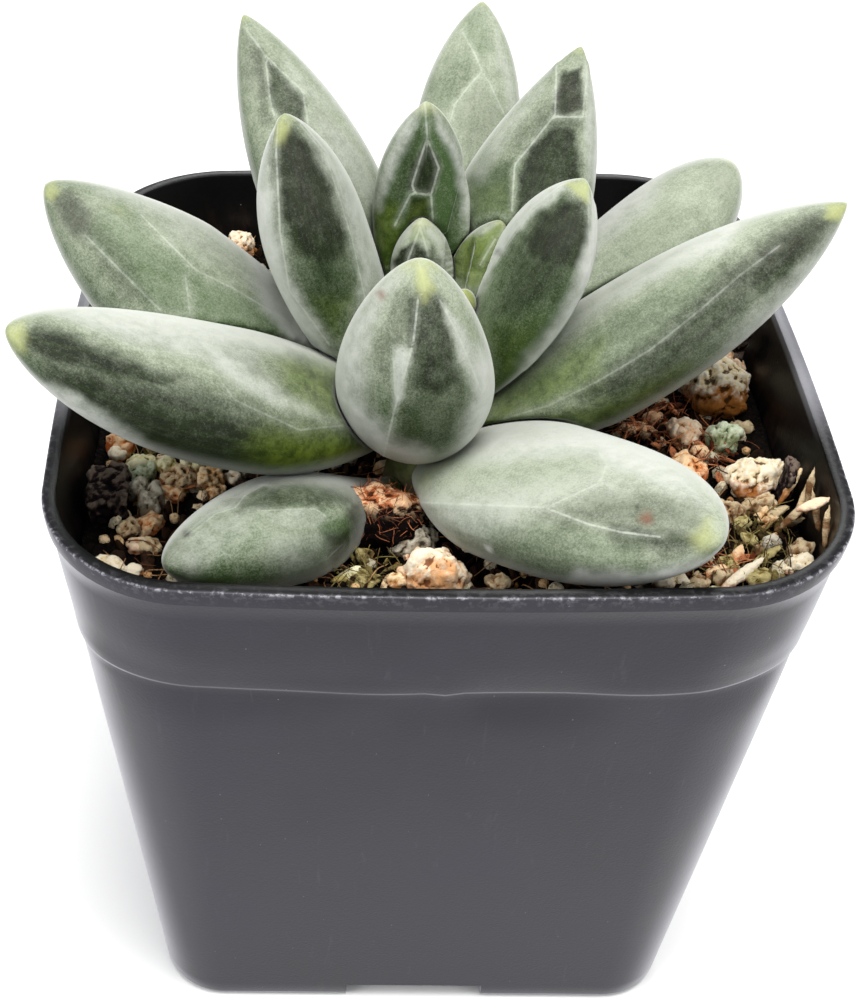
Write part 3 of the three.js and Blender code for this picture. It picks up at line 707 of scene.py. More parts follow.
class Finish(Graph):
    """A material being made."""

    def __init__(self, name):
        self.material = bpy.data.materials.new(name)
        self.material.use_nodes = True
        super().__init__(self.material.node_tree)
        self.shader = self.nodes["Principled BSDF"]
        self.coordinates = None

    def place(self):
        """Object coordinates in millimetres."""
        if self.coordinates is None:
            source = self.node("ShaderNodeTexCoord").outputs["Object"]
            self.coordinates = self.stretched(source, (1 / MM, 1 / MM, 1 / MM))
        return self.coordinates

    def stretched(self, source, scale):
        return self.node("ShaderNodeMapping", {"Vector": source, "Scale": scale}).outputs["Vector"]

    def noise(self, scale, detail=4, roughness=0.55, distortion=0, source=None):
        return self.node("ShaderNodeTexNoise", {
            "Vector": source or self.place(), "Scale": scale, "Detail": detail,
            "Roughness": roughness, "Distortion": distortion,
        }).outputs["Fac"]

    def cells(self, scale):
        inputs = {"Vector": self.place(), "Scale": scale}
        return self.node("ShaderNodeTexVoronoi", inputs).outputs["Distance"]

    def ramp(self, value, low, high, start=0.0, end=1.0):
        """value from low to high becomes start to end, smoothly."""
        return self.node("ShaderNodeMapRange", {
            "Value": value, "From Min": low, "From Max": high, "To Min": start, "To Max": end,
        }, interpolation_type="SMOOTHSTEP").outputs["Result"]

    def maths(self, operation, first, second, clamp=False):
        inputs = {0: first, 1: second}
        return self.node("ShaderNodeMath", inputs, operation=operation, use_clamp=clamp).outputs[0]

    def times(self, first, second):
        return self.maths("MULTIPLY", first, second)

    def plus(self, first, second, clamp=False):
        return self.maths("ADD", first, second, clamp)

    def mix(self, share, first, second):
        inputs = {0: share, 6: first, 7: second}
        return self.node("ShaderNodeMix", inputs, data_type="RGBA").outputs[2]

    def coats(self, skin, *coats):
        """Lays colours over a skin one after the other, each by its share."""
        for share, colour in coats:
            skin = self.mix(share, skin, srgb(*colour) if isinstance(colour, tuple) else colour)
        return skin

    def attribute(self, name):
        """The three parts of a colour attribute."""
        source = self.node("ShaderNodeAttribute", attribute_name=name).outputs["Color"]
        return self.node("ShaderNodeSeparateColor", {"Color": source}).outputs[:3]

    def distance_to(self, name):
        """How long the way is that an attribute holds."""
        source = self.node("ShaderNodeAttribute", attribute_name=name).outputs["Vector"]
        return self.node("ShaderNodeVectorMath", {0: source}, operation="LENGTH").outputs["Value"]

    def height(self):
        return self.node("ShaderNodeSeparateXYZ", {"Vector": self.place()}).outputs["Z"]

    def facing(self):
        """0 where the skin faces the viewer, 1 at its outline."""
        return self.node("ShaderNodeLayerWeight").outputs["Facing"]

    def bump(self, height, depth):
        """Relief of a depth in millimetres."""
        inputs = {"Strength": 1, "Distance": depth * MM, "Height": height}
        return self.node("ShaderNodeBump", inputs).outputs["Normal"]

    def end(self, colour, roughness, normal=None, **others):
        inputs = {"Base Color": colour, "Roughness": roughness, **others}
        if normal is not None:
            inputs["Normal"] = normal
        for key, value in inputs.items():
            self.feed(value, self.shader.inputs[key.replace("_", " ")])
        return self.material


def plain_finish(name, colour, roughness):
    finish = Finish(name)
    speckle = finish.noise(0.05, 3)
    shade = finish.mix(finish.ramp(speckle, 0.3, 0.7, 0, 0.15), (*colour, 1), (0.8, 0.8, 0.8, 1))
    return finish.end(shade, roughness)


def leaf_finish():
    """Green skin under a pale floury bloom, thin where leaves have chafed each other, with painted shade,
    painted top light and a painted sheen along the outlines.
    """
    finish = Finish("leaf_skin")
    times = finish.times
    ramp = finish.ramp
    plainness, dark, fresh = finish.attribute("leaf_marks")
    pale, grey, green = finish.attribute("leaf_tones")
    bloom_and_shading, tip, foot = finish.attribute("leaf_place")
    rust, soot, frost_and_highlight = finish.attribute("leaf_spots")
    clouds = finish.noise(0.2, 5, 0.6, 0.4)
    mottle = finish.noise(0.85, 8, 0.75)
    grain = finish.noise(5.5, 5, 0.8)
    flour = finish.noise(11, 3, 0.7)
    uv = finish.node("ShaderNodeUVMap", uv_map="leaf_uv").outputs["UV"]
    streaks = finish.noise(1, 6, 0.75, 0.4, finish.stretched(uv, (46, 7, 1)))
    to_line = finish.distance_to("way_to_line")
    imprint = finish.maths("MAXIMUM", ramp(to_line, 0.16, 0.03, 0, 0.78), ramp(to_line, 0.6, 0.1, 0, 0.2))
    imprint = times(times(imprint, ramp(mottle, 0.36, 0.6, 0.45, 1)), plainness)

    # The bloom's tone, also paler on tops and darker underneath as painted top light and underside shade
    bloom = ramp(clouds, 0.3, 0.7, 0.12, 0.34)
    for part in (
        ramp(mottle, 0.36, 0.64, 0, 0.17), ramp(streaks, 0.36, 0.64, 0, 0.14), bloom_and_shading,
        ramp(grain, 0.36, 0.64, -0.2, 0.2), times(foot, -0.3),
    ):
        bloom = finish.plus(bloom, part)
    bloom = finish.plus(bloom, times(green, -0.3), clamp=True)

    ragged = finish.plus(ramp(mottle, 0.36, 0.64, 0.08, -0.08), ramp(grain, 0.4, 0.66, 0, -0.12))
    # Dark areas: bloom worn off, and painted shade on lower and inner faces and between leaves
    rubbed_and_shaded = times(finish.plus(dark, ragged, clamp=True), ramp(dark, 0, 0.2))
    deep = finish.mix(ramp(streaks, 0.36, 0.64), srgb(10, 17, 2), srgb(30, 42, 14))
    young = finish.mix(ramp(mottle, 0.34, 0.64), srgb(48, 65, 0), srgb(94, 112, 24))
    # Pale areas: thick bloom, and painted light along outlines and on shaded flanks
    floury_and_highlight = times(pale, ramp(mottle, 0.34, 0.64, 0.6, 1))
    # Painted sheen: the skin turns pale grey towards its outline, a painted highlight where the leaf turns
    # away from the viewer, weaker on undersides
    painted_rim_sheen = times(ramp(finish.facing(), 0.45, 0.93, 0, 0.88), ramp(bloom_and_shading, -0.3, 0.15, 0.6, 1))
    skin = finish.coats(
        finish.mix(bloom, srgb(54, 74, 38), srgb(158, 165, 146)),
        (times(green, 0.45), (60, 87, 42)),
        (rubbed_and_shaded, deep),
        (times(grey, 0.4), (58, 56, 52)),
        (times(foot, 0.8), young),
        (times(fresh, 0.85), young),
        (times(floury_and_highlight, 0.9), (188, 190, 184)),
        (imprint, (188, 193, 181)),
        (times(tip, 0.75), (168, 173, 112)),
        (ramp(flour, 0.6, 0.72, 0, 0.14), (190, 194, 184)),
        (rust, (112, 70, 52)),
        (soot, (26, 20, 17)),
        # Frost: the thickest bloom, and painted light on shaded flanks and along outlines
        (frost_and_highlight, (216, 217, 212)),
        (painted_rim_sheen, (200, 202, 196)),
    )
    relief = finish.plus(times(grain, 0.6), mottle)
    return finish.end(
        skin, ramp(bloom, 0, 1, 0.4, 0.62), finish.bump(relief, 0.08),
        Subsurface_Weight=0.08, Subsurface_Radius=(0.8, 1.0, 0.4), Subsurface_Scale=0.001,
        Specular_IOR_Level=0.2, Sheen_Weight=0.1, Sheen_Roughness=0.2,
        Sheen_Tint=(0.96, 1, 0.95, 1),
    )


def pot_finish():
    """Black plastic: a painted reflection at its outline, painted shade and soil splashes inside, a painted
    highlight on the lip's sides, and a chipped lip edge with a painted highlight.
    """
    finish = Finish("pot_plastic")
    times = finish.times
    ramp = finish.ramp
    clouds = finish.noise(0.06, 4, 0.6)
    grain = finish.noise(4, 3, 0.6)
    scuffs = finish.noise(1, 3, 0.7, 0.6, finish.stretched(finish.place(), (0.9, 0.9, 0.12)))
    chips = finish.noise(1.6, 4, 0.7)
    lip, inner, lip_side_highlight = finish.attribute("pot_place")
    low = ramp(finish.height(), 61, 55)
    splash = times(ramp(scuffs, 0.45, 0.62, 0, 0.25), low)
    lip_top = ramp(finish.height(), POT_HEIGHT - 0.9, POT_HEIGHT - 0.4, 0, 0.55)
    body = finish.coats(
        finish.mix(ramp(clouds, 0.3, 0.7), srgb(31, 30, 38), srgb(40, 38, 48)),
        (ramp(scuffs, 0.6, 0.8, 0, 0.25), (76, 75, 83)),
        # Painted reflection: paler grey where the wall turns away from the viewer
        (ramp(finish.facing(), 0.6, 1, 0, 0.95), (158, 158, 165)),
        # Painted shade: the inner wall and the lip's top near black
        (inner, (5, 5, 6)),
        (times(splash, inner), (52, 38, 30)),
        # Painted highlight on the outer sides of the lip at left and right
        (times(lip_side_highlight, lip_top), (150, 150, 157)),
        # The lip's outer edge: chipped and worn, with a painted highlight along it
        (times(lip, ramp(chips, 0.48, 0.62, 0.08, 0.8)), (160, 160, 166)),
        (ramp(finish.cells(0.5), 0.035, 0.02, 0, 0.4), (150, 150, 155)),
    )
    return finish.end(
        body, ramp(clouds, 0.3, 0.7, 0.3, 0.4), finish.bump(grain, 0.02), Specular_IOR_Level=0.25,
    )


def soil_finish():
    finish = Finish("potting_mix")
    lumps = finish.noise(0.8, 5, 0.65)
    crumbs = finish.cells(2.2)
    base = finish.mix(finish.ramp(lumps, 0.38, 0.68), srgb(2, 2, 2), srgb(16, 11, 8))
    base = finish.coats(base, (finish.ramp(crumbs, 0.35, 0.1, 0, 0.3), (46, 31, 21)))
    relief = finish.plus(lumps, crumbs)
    return finish.end(base, 0.9, finish.bump(relief, 0.25), Specular_IOR_Level=0.05)


# Stone colours: in its hollows, low down, high up, and on its ridges. The hollow colour is painted
# shade and the ridge colour a painted highlight; low and high are partly each stone's own tones and
# partly painted underside shade and top light.
STONE_COLOURS = {
    "amber": ((62, 30, 12), (186, 98, 44), (232, 160, 98), (252, 226, 184)),
    "ochre": ((84, 70, 28), (186, 170, 102), (230, 222, 164), (250, 246, 212)),
    "ash": ((46, 42, 32), (128, 116, 96), (176, 164, 142), (222, 216, 198)),
    "moss": ((36, 44, 24), (130, 138, 96), (168, 180, 140), (222, 230, 204)),
    "bark": ((5, 2, 3), (22, 11, 14), (42, 25, 29), (138, 122, 108)),
    "mottled": ((38, 22, 12), (112, 78, 48), (168, 130, 92), (224, 206, 168)),
    "tan": ((58, 32, 14), (168, 112, 62), (216, 166, 110), (250, 228, 186)),
    "pink": ((84, 42, 26), (182, 120, 84), (228, 174, 130), (250, 228, 198)),
    "cream": ((76, 42, 16), (172, 106, 50), (234, 212, 170), (252, 242, 220)),
    "pumice": ((52, 28, 8), (164, 104, 46), (238, 216, 168), (255, 248, 228)),
    # The rust finish's low colour is near black: painted shade low down on the crust and fibre clumps
    "rust": ((24, 6, 3), (6, 2, 2), (196, 108, 62), (250, 212, 168)),
    "olive": ((18, 14, 5), (64, 52, 20), (128, 110, 54), (206, 192, 136)),
    "peach": ((120, 66, 36), (232, 172, 118), (250, 218, 180), (255, 244, 220)),
}

# How far the border between the low and the high colour wanders, and between which heights it lies
STONE_BANDS = {
    "rust": (0.06, 0.64, 0.76), "cream": (0.15, 0.42, 0.66), "pumice": (0.12, 0.52, 0.68),
    "pink": (0.3, 0.3, 0.8),
}
USUAL_BAND = (0.4, 0.4, 0.9)


def stone_finish(name):
    hollow_shade_colour, low, high, ridge = [srgb(*colour) for colour in STONE_COLOURS[name]]
    finish = Finish("grit_" + name)
    ramp = finish.ramp
    depth, rise, _ = finish.attribute("stone_form")
    patches = finish.noise(0.55, 5, 0.65, 0.5)
    pits = finish.noise(2.6, 5, 0.75)
    wander, band_low, band_high = STONE_BANDS.get(name, USUAL_BAND)
    # Tone from low to high: partly the stone's own two tones, partly painted top light and underside shade
    top_light = finish.plus(rise, ramp(patches, 0.3, 0.7, -wander, wander))
    skin = finish.mix(ramp(top_light, band_low, band_high), low, high)
    # Ridges paler as a painted highlight
    ridge_highlight = finish.plus(ramp(depth, 0.5, 0.95, 0, 0.7), ramp(pits, 0.5, 0.68, 0, 0.4))
    ridge_highlight = finish.times(ridge_highlight, ramp(top_light, band_low - 0.2, band_high))
    skin = finish.mix(ridge_highlight, skin, ridge)
    # Hollows darker as painted shade
    hollow_shade = finish.plus(ramp(depth, 0.4, 0.05), ramp(pits, 0.4, 0.28, 0, 0.7), clamp=True)
    skin = finish.mix(finish.times(hollow_shade, 0.9), skin, hollow_shade_colour)
    return finish.end(skin, 0.85, finish.bump(pits, 0.3), Specular_IOR_Level=0.1)


def grain_finish(name, colours):
    """Small grains whose tone differs from one to the next."""
    finish = Finish(name)
    tone = finish.node("ShaderNodeAttribute", attribute_name="grain_tone").outputs["Fac"]
    ramp = finish.node("ShaderNodeValToRGB", {"Fac": tone})
    band = ramp.color_ramp
    while len(band.elements) < len(colours):
        band.elements.new(0.5)
    for index, colour in enumerate(colours):
        band.elements[index].position = index / (len(colours) - 1)
        band.elements[index].color = srgb(*colour)
    pits = finish.noise(3.5, 4, 0.7)
    skin = finish.coats(ramp.outputs["Color"], (finish.ramp(pits, 0.5, 0.36, 0, 0.7), (24, 15, 9)))
    return finish.end(skin, 0.88, finish.bump(pits, 0.2), Specular_IOR_Level=0.1)


# Pot and soil

def round_square(half, corner, bow, z, side_steps=24, corner_steps=20):
    points = []
    flat = half - corner
    for quarter in range(4):
        turn = quarter * math.pi / 2
        outline = []
        for i in range(side_steps):
            along = -1 + 2 * i / side_steps
            outline.append((half + bow * (1 - along * along), along * flat))
        for i in range(corner_steps):
            angle = i / corner_steps * math.pi / 2
            outline.append((flat + corner * math.cos(angle), flat + corner * math.sin(angle)))
        for x, y in outline:
            points.append((
                x * math.cos(turn) - y * math.sin(turn),
                x * math.sin(turn) + y * math.cos(turn),
                z,
            ))
    return np.array(points)


def pot_ring(z, offset):
    rise = z / POT_HEIGHT
    half = BASE_HALF + (RIM_HALF - BASE_HALF) * rise
    corner = BASE_CORNER + (RIM_CORNER - BASE_CORNER) * rise
    return round_square(half + offset, corner + offset, RIM_BOW * rise, z)


def cut(piece, cutter):
    """Takes a solid away from a piece, and removes the solid."""
    modifier = piece.modifiers.new("cut", "BOOLEAN")
    modifier.operation = "DIFFERENCE"
    modifier.solver = "EXACT"
    modifier.object = cutter
    bake_modifiers(piece)
    bpy.data.objects.remove(cutter)


def bake_modifiers(piece):
    bpy.context.view_layer.update()
    graph = bpy.context.evaluated_depsgraph_get()
    mesh = bpy.data.meshes.new_from_object(piece.evaluated_get(graph), depsgraph=graph)
    piece.modifiers.clear()
    piece.data = mesh


def box_mesh(x, y, z):
    """A block between the bounds given for each direction."""
    points = [(a, b, c) for c in z for b in y for a in x]
    faces = [(0, 2, 3, 1), (4, 5, 7, 6), (0, 1, 5, 4), (1, 3, 7, 5), (3, 2, 6, 7), (2, 0, 4, 6)]
    return make_mesh("block", np.array(points) * MM, faces)


def make_pot():
    shoulder = POT_HEIGHT - SHOULDER_DROP
    lip = POT_HEIGHT - LIP_HEIGHT
    inside = -POT_WALL
    profile = [
        (0, -0.9), (0.15, -0.55), (0.45, -0.25), (0.9, -0.1),
        (FOOT_HEIGHT + 0.15, -0.1), *[
            (z, -0.1 - (SHOULDER_STEP - 0.1) * z / shoulder)
            for z in (*np.arange(6, shoulder - 8, 6), *np.arange(shoulder - 7, shoulder - 0.6, 1))
        ],
        (shoulder - 0.35, -SHOULDER_STEP), (shoulder - 0.1, -SHOULDER_STEP * 0.8),
        (shoulder + 0.1, -SHOULDER_STEP * 0.2), (shoulder + 0.35, 0),
        *[(z, 0) for z in np.arange(shoulder + 1.3, lip - 1, 1.2)],
        (lip - 0.25, 0), (lip - 0.08, LIP_REACH * 0.4), (lip, LIP_REACH),
        (POT_HEIGHT - 0.25, LIP_REACH), LIP_EDGE,
        (POT_HEIGHT, LIP_REACH - 0.25),
        (POT_HEIGHT, inside + 0.25), (POT_HEIGHT - 0.08, inside + 0.07),
        (POT_HEIGHT - 0.25, inside), (shoulder + 0.3, inside),
        (shoulder - 0.3, inside - SHOULDER_STEP), (POT_FLOOR + 1, inside),
        (POT_FLOOR, inside - 0.7),
    ]
    rings = [pot_ring(z, offset) for z, offset in profile]
    ends = [(0, 0, 0), (0, 0, POT_FLOOR)]
    points = np.vstack(rings + [ends])
    wall_height = points[:, 2]
    slack = np.exp(-((wall_height - shoulder) / 3) ** 2) * (np.abs(points[:, 0]) > 1)
    for point, share in zip(points, slack):
        if share > 0.01:
            dent = noise.noise(Vector(point) * 0.11) - 0.3
            point[:2] *= 1 + WALL_DENT * share * dent / RIM_HALF
    mesh = make_mesh("nursery_pot", points * MM, loft_faces(len(rings), len(rings[0])))
    pot = add_object("pot_blank", mesh)
    half = FOOT_GAP / 2
    reach = 2 * RIM_HALF
    below = (-5, FOOT_HEIGHT)
    cut(pot, add_object("cross", box_mesh((-reach, reach), (-half, half), below)))
    cut(pot, add_object("cross", box_mesh((-half, half), (-reach, reach), below)))
    for x, y in ((0, 0), (1, 0), (0, 1), (-1, 0), (0, -1)):
        circle = []
        for i in range(32):
            angle = i / 32 * 2 * math.pi
            circle.append((
                x * DRAIN_SPREAD + DRAIN_RADIUS * math.cos(angle),
                y * DRAIN_SPREAD + DRAIN_RADIUS * math.sin(angle),
                0,
            ))
        circle = np.array(circle)
        middle = circle.mean(0)
        up = np.array((0, 0, 6))
        drain = np.vstack([circle, circle + up, [middle, middle + up]]) * MM
        cut(pot, add_object("drain", make_mesh("drain", drain, loft_faces(2, 32))))
    mesh = pot.data
    mesh.name = "nursery_pot"
    mesh.shade_smooth()
    mesh.set_sharp_from_angle(angle=math.radians(35))
    bpy.data.objects.remove(pot)
    mark_pot(mesh)
    return root_piece("nursery_pot", mesh, pot_finish(), "pot_plastic", "pot")


def mark_pot(mesh):
    """Marks the worn outer edge of the lip, which also gets a painted highlight, the inner wall and lip top
    for painted shade, and the sides of the lip for a painted highlight.
    """
    points = mesh_vectors(mesh) / MM
    normals = mesh_vectors(mesh, "normal")
    lip = np.full(len(points), 1e9)
    for spot in pot_ring(*LIP_EDGE):
        lip = np.minimum(lip, ((points - spot) ** 2).sum(1))
    lip = np.exp(-lip / 0.13 ** 2)
    from_axis = np.linalg.norm(points[:, :2] + 1e-6, axis=1)
    inward = -(points[:, :2] * normals[:, :2]).sum(1) / from_axis
    # The inner wall and the lip's top, for painted shade
    inner = smooth_step(inward, -0.75, -0.1) * (points[:, 2] > POT_FLOOR)
    # The lip's outer sides at left and right, for a painted highlight
    along = smooth_step(points[:, 1], -14, -4) * (1 - smooth_step(points[:, 1], 18, 26))
    side = smooth_step(np.abs(points[:, 0]), 27, 30) * along * (points[:, 2] > POT_HEIGHT - 1)
    side = side * smooth_step(normals[:, 2], -0.1, 0.5)
    write_marks(mesh, "pot_place", lip, inner, side)


def soil_height(x, y):
    bumps = (
        np.sin(0.9 * x + 0.4 * y) + np.sin(0.55 * x - 0.95 * y + 1.3)
        + np.sin(1.45 * x + 1.2 * y + 2.1) + np.sin(-1.1 * x + 1.7 * y + 0.6)
    ) / 4
    dish = SOIL_EDGE_RISE * (x * x + y * y) / SOIL_REACH ** 2
    return SOIL_LEVEL + dish + SOIL_TILT * x / SOIL_REACH + SOIL_RELIEF * bumps


def make_soil():
    inset = -POT_WALL - SEAT_GAP
    edge = pot_ring(SOIL_LEVEL, inset)
    rings = [
        pot_ring(POT_FLOOR + SEAT_GAP, inset - 0.7),
        pot_ring(POT_HEIGHT - SHOULDER_DROP - 1, inset - SHOULDER_STEP),
    ]
    for r in range(SOIL_RINGS):
        share = 1 - r / SOIL_RINGS
        ring = edge * (share, share, 1)
        ring[:, 2] = soil_height(ring[:, 0], ring[:, 1])
        for point in ring:
            point[2] += SOIL_CRUMB * noise.fractal(Vector(point) * 0.7, 0.6, 2.2, 5)
        rings.append(ring)
    centre = (0, 0, float(soil_height(np.zeros(1), np.zeros(1))[0]))
    points = np.vstack(rings + [[(0, 0, POT_FLOOR + SEAT_GAP), centre]]) * MM
    mesh = make_mesh("potting_soil", points, loft_faces(len(rings), len(edge)))
    return root_piece("potting_soil", mesh, soil_finish(), "potting_mix", "soil")


# Stem and leaves

def stem_middle(z):
    share = (np.asarray(z, float) - SOIL_LEVEL) / STEM_RISE
    return np.stack([
        STEM_FOOT[0] + STEM_LEAN[0] * share, STEM_FOOT[1] + STEM_LEAN[1] * share, np.asarray(z, float),
    ], -1)


def stem_radius(z):
    top = SOIL_LEVEL + STEM_RISE
    return np.interp(z, (SOIL_LEVEL, STEM_SHOULDER, top), STEM_RADII)


def make_stem():
    sides = 48
    foot = SOIL_LEVEL - STEM_FOOT_DEPTH
    top = SOIL_LEVEL + STEM_RISE
    angles = np.arange(sides) / sides * 2 * math.pi
    rings = []
    for z in np.linspace(foot, top, 60):
        middle = stem_middle(z)
        radius = float(stem_radius(z)) * min(1, 0.6 + (z - foot) / 3)
        ring = []
        for angle in angles:
            spot = Vector((math.cos(angle) * 1.5, math.sin(angle) * 1.5, z * 0.6))
            reach = radius * (1 + 0.03 * noise.noise(spot))
            ring.append(middle + reach * np.array((math.cos(angle), math.sin(angle), 0)))
        rings.append(np.array(ring))
    points = np.vstack(rings + [[stem_middle(foot), stem_middle(top)]]) * MM
    mesh = make_mesh("short_stem", points, loft_faces(len(rings), sides))
    finish = Finish("stem_green")
    bark = finish.noise(0.9, 5, 0.65)
    skin = finish.mix(finish.ramp(bark, 0.35, 0.65), srgb(96, 104, 52), srgb(140, 150, 82))
    skin = finish.mix(finish.ramp(finish.height(), 57, 54), skin, srgb(92, 72, 48))
    material = finish.end(skin, 0.6, finish.bump(bark, 0.15))
    return root_piece("short_stem", mesh, material, "stem_green", "stem")


class Leaf:
    """One leaf's form: a fat spindle from a narrow neck to a short point."""

    def __init__(self, name, numbers):
        self.name = name
        row = dict(zip(LEAF_COLUMNS, (*numbers, NECK_SWELL)))
        for key, value in row.items():
            setattr(self, key, value)
        self.dome = DOMED.get(name, USUAL_DOME)
        wanted = 1 - DOME_MATCH ** self.bluntness
        self.taper = math.log(1 - wanted ** (1 / self.dome)) / math.log(DOME_MATCH)
        heading = math.radians(self.heading)
        pitch = math.radians(self.pitch)
        out = np.array((math.cos(heading), math.sin(heading), 0))
        self.start = stem_middle(self.seat) + out * (float(stem_radius(self.seat)) + SEAT_GAP)
        self.chord = out * math.cos(pitch) + np.array((0, 0, math.sin(pitch)))
        across = np.array((-out[1], out[0], 0))
        self.above = np.cross(self.chord, across)
        turn = Matrix.Rotation(math.radians(self.roll), 3, Vector(self.chord))
        self.side = np.array(turn @ Vector(across))

    def middle(self, s):
        sag = self.sag * 4 * s * (1 - s)
        return self.start + np.outer(s, self.chord * self.length) - np.outer(sag, self.above)

    def up(self, s):
        bend = self.sag * 4 * (1 - 2 * s)
        along = self.chord * self.length - np.outer(bend, self.above)
        along /= np.linalg.norm(along, axis=1)[:, None]
        up = np.cross(along, self.side)
        return up / np.linalg.norm(up, axis=1)[:, None]

    def halves(self, s):
        """Half the width and half the thickness along the leaf."""
        before = np.sin(np.clip(s / self.widest, 0, 1) * math.pi / 2) ** self.swell
        past = np.clip((s - self.widest) / (1 - self.widest), 0, 1)
        after = (1 - past ** self.taper) ** self.dome
        in_neck = s < self.widest
        swell = np.where(in_neck, before, after)
        neck = np.where(in_neck, 1 - swell, 0)
        wide = swell * self.width / 2 + neck * self.neck / 2
        thick = swell * self.thickness / 2 + neck * NECK_THICKNESS / 2
        return wide, thick

    def holds(self, points, grow):
        """Which points lie inside the leaf grown by a margin."""
        s = (points - self.start) @ self.chord / self.length
        ends = grow / self.length
        within = (s > -ends) & (s < 1 + ends)
        s = np.clip(s, 0, 1)
        from_middle = points - self.middle(s)
        sideways = from_middle @ self.side
        upwards = np.einsum("ij,ij->i", from_middle, self.up(s))
        wide, thick = self.halves(s)
        share = np.where(upwards > 0, UPPER_FACE, LOWER_FACE)
        reach = (sideways / (wide + grow)) ** 2 + (upwards / (thick * share + grow)) ** 2
        return within & (reach < 1)

    def grid(self):
        """Rings of points along the leaf, closer together towards both ends."""
        even = np.linspace(0, 1, LEAF_RINGS + 1)[:-1]
        s = even + 0.09 * np.sin(2 * math.pi * even) / math.pi * -0.5
        s = np.clip(s, 0, 1)
        angle = np.arange(LEAF_SIDES) / LEAF_SIDES * 2 * math.pi
        wide, thick = self.halves(s)
        share = np.where(np.sin(angle) > 0, UPPER_FACE, LOWER_FACE)
        middle = self.middle(s)
        sideways = np.outer(wide, np.cos(angle))
        upwards = np.outer(thick, np.sin(angle) * share)
        points = (
            middle[:, None, :]
            + sideways[:, :, None] * self.side[None, None, :]
            + upwards[:, :, None] * self.up(s)[:, None, :]
        )
        return s, angle, middle, points


def stem_holds(points):
    z = points[:, 2]
    distance = np.linalg.norm((points - stem_middle(z))[:, :2], axis=1)
    return distance < stem_radius(z) + DENT_GAP


def dented(middle, points, neighbours):
    """Draws points in towards the leaf's middle line until they clear the neighbours."""
    shape = points.shape[:2]
    centre = np.repeat(middle, shape[1], axis=0)
    outward = points.reshape(-1, 3) - centre
    share = np.ones(len(outward))
    unsettled = np.ones(len(outward), bool)
    for step in range(DENT_STEPS):
        trial = 1 - (1 - DEEPEST_DENT) * step / DENT_STEPS
        places = centre[unsettled] + outward[unsettled] * trial
        blocked = np.zeros(len(places), bool)
        for holds in neighbours:
            blocked |= holds(places)
        index = np.flatnonzero(unsettled)
        share[index] = trial
        unsettled[index[~blocked]] = False
    share = share.reshape(shape)
    soft = share.copy()
    for _ in range(2):
        around = (np.roll(soft, 1, 1) + np.roll(soft, -1, 1)) / 2
        along = (np.vstack([soft[:1], soft[:-1]]) + np.vstack([soft[1:], soft[-1:]])) / 2
        soft = (2 * soft + around + along) / 4
    soft = np.minimum(soft, share + 0.02)
    return (centre + outward * soft.reshape(-1, 1)).reshape(points.shape)


def line_on_leaf(tree, line):
    """Points on a leaf's skin under a line drawn in the picture."""
    found = []
    origin = CAMERA_PLACE * MM
    for (x0, y0), (x1, y1) in zip(line, line[1:]):
        steps = max(1, int(math.hypot(x1 - x0, y1 - y0) / IMPRINT_SPACING))
        for i in range(steps + 1):
            share = i / steps
            way = picture_ray(x0 + (x1 - x0) * share, y0 + (y1 - y0) * share)
            spot = tree.ray_cast(origin, way)[0]
            if spot is not None:
                found.append(np.array(spot) / MM)
    return found


def hidden_line(line, points, seen, grid_shape, shift):
    """Points along a line on the side of a leaf that the picture hides."""
    rings, sides = grid_shape
    found = []
    for (s0, a0), (s1, a1) in zip(line, line[1:]):
        for share in np.linspace(0, 1, 16):
            ring = int((s0 + (s1 - s0) * share + shift * 0.002) * (rings - 1))
            column = int((a0 + (a1 - a0) * share + shift) / 360 * sides) % sides
            index = ring * sides + column
            if seen[index] < 0.2:
                found.append(points[index])
    return found


def way_to_line(name, mesh, points, seen, grid_shape):
    """From each point of a leaf, the way to the nearest imprint line and how plain that is."""
    tree = BVHTree.FromPolygons(
        [tuple(p) for p in points * MM], [tuple(f.vertices) for f in mesh.polygons],
    )
    lines = [(plain, line_on_leaf(tree, line)) for plain, line in IMPRINTS.get(name, ())]
    shift = sum(map(ord, name)) % 7 * 4 - 12
    lines += [
        (HIDDEN_PLAINNESS, hidden_line(line, points, seen, grid_shape, shift))
        for line in HIDDEN_LINES
    ]
    way = np.full((len(points), 3), 1e3)
    nearest = np.full(len(points), 1e9)
    plainness = np.zeros(len(points))
    for plain, line in lines:
        for start, end in zip(line, line[1:]):
            side = end - start
            if not 0 < side @ side < LINE_BREAK ** 2:
                continue
            share = np.clip((points - start) @ side / (side @ side), 0, 1)
            to_line = start + share[:, None] * side - points
            distance = (to_line ** 2).sum(1)
            closer = distance < nearest
            nearest[closer] = distance[closer]
            way[closer] = to_line[closer]
            plainness[closer] = plain
    return way, plainness * (1 - smooth_step(np.sqrt(nearest), 0.3, 0.6))


def faces_camera(points, normals):
    """1 where the skin faces the camera, 0 where it faces away."""
    way = np.array(CAMERA_PLACE) - points
    way /= np.linalg.norm(way, axis=1)[:, None]
    return smooth_step((way * normals).sum(1), -0.05, 0.15)


def inside_zone(outline, places, softness):
    """1 inside an outline drawn in the picture, 0 outside, with a soft edge."""
    corners = np.array(outline, float)
    distance = np.full(len(places), 1e9)
    inside = np.zeros(len(places), bool)
    for start, end in zip(corners, np.roll(corners, -1, 0)):
        side = end - start
        share = np.clip((places - start) @ side / (side @ side), 0, 1)
        off = np.linalg.norm(places - start - share[:, None] * side, axis=1)
        distance = np.minimum(distance, off)
        straddles = (start[1] > places[:, 1]) != (end[1] > places[:, 1])
        if side[1]:
            crossing = start[0] + side[0] * (places[:, 1] - start[1]) / side[1]
            inside ^= straddles & (places[:, 0] < crossing)
    signed = np.where(inside, distance, -distance)
    return smooth_step(signed, -softness / 2, softness / 2)


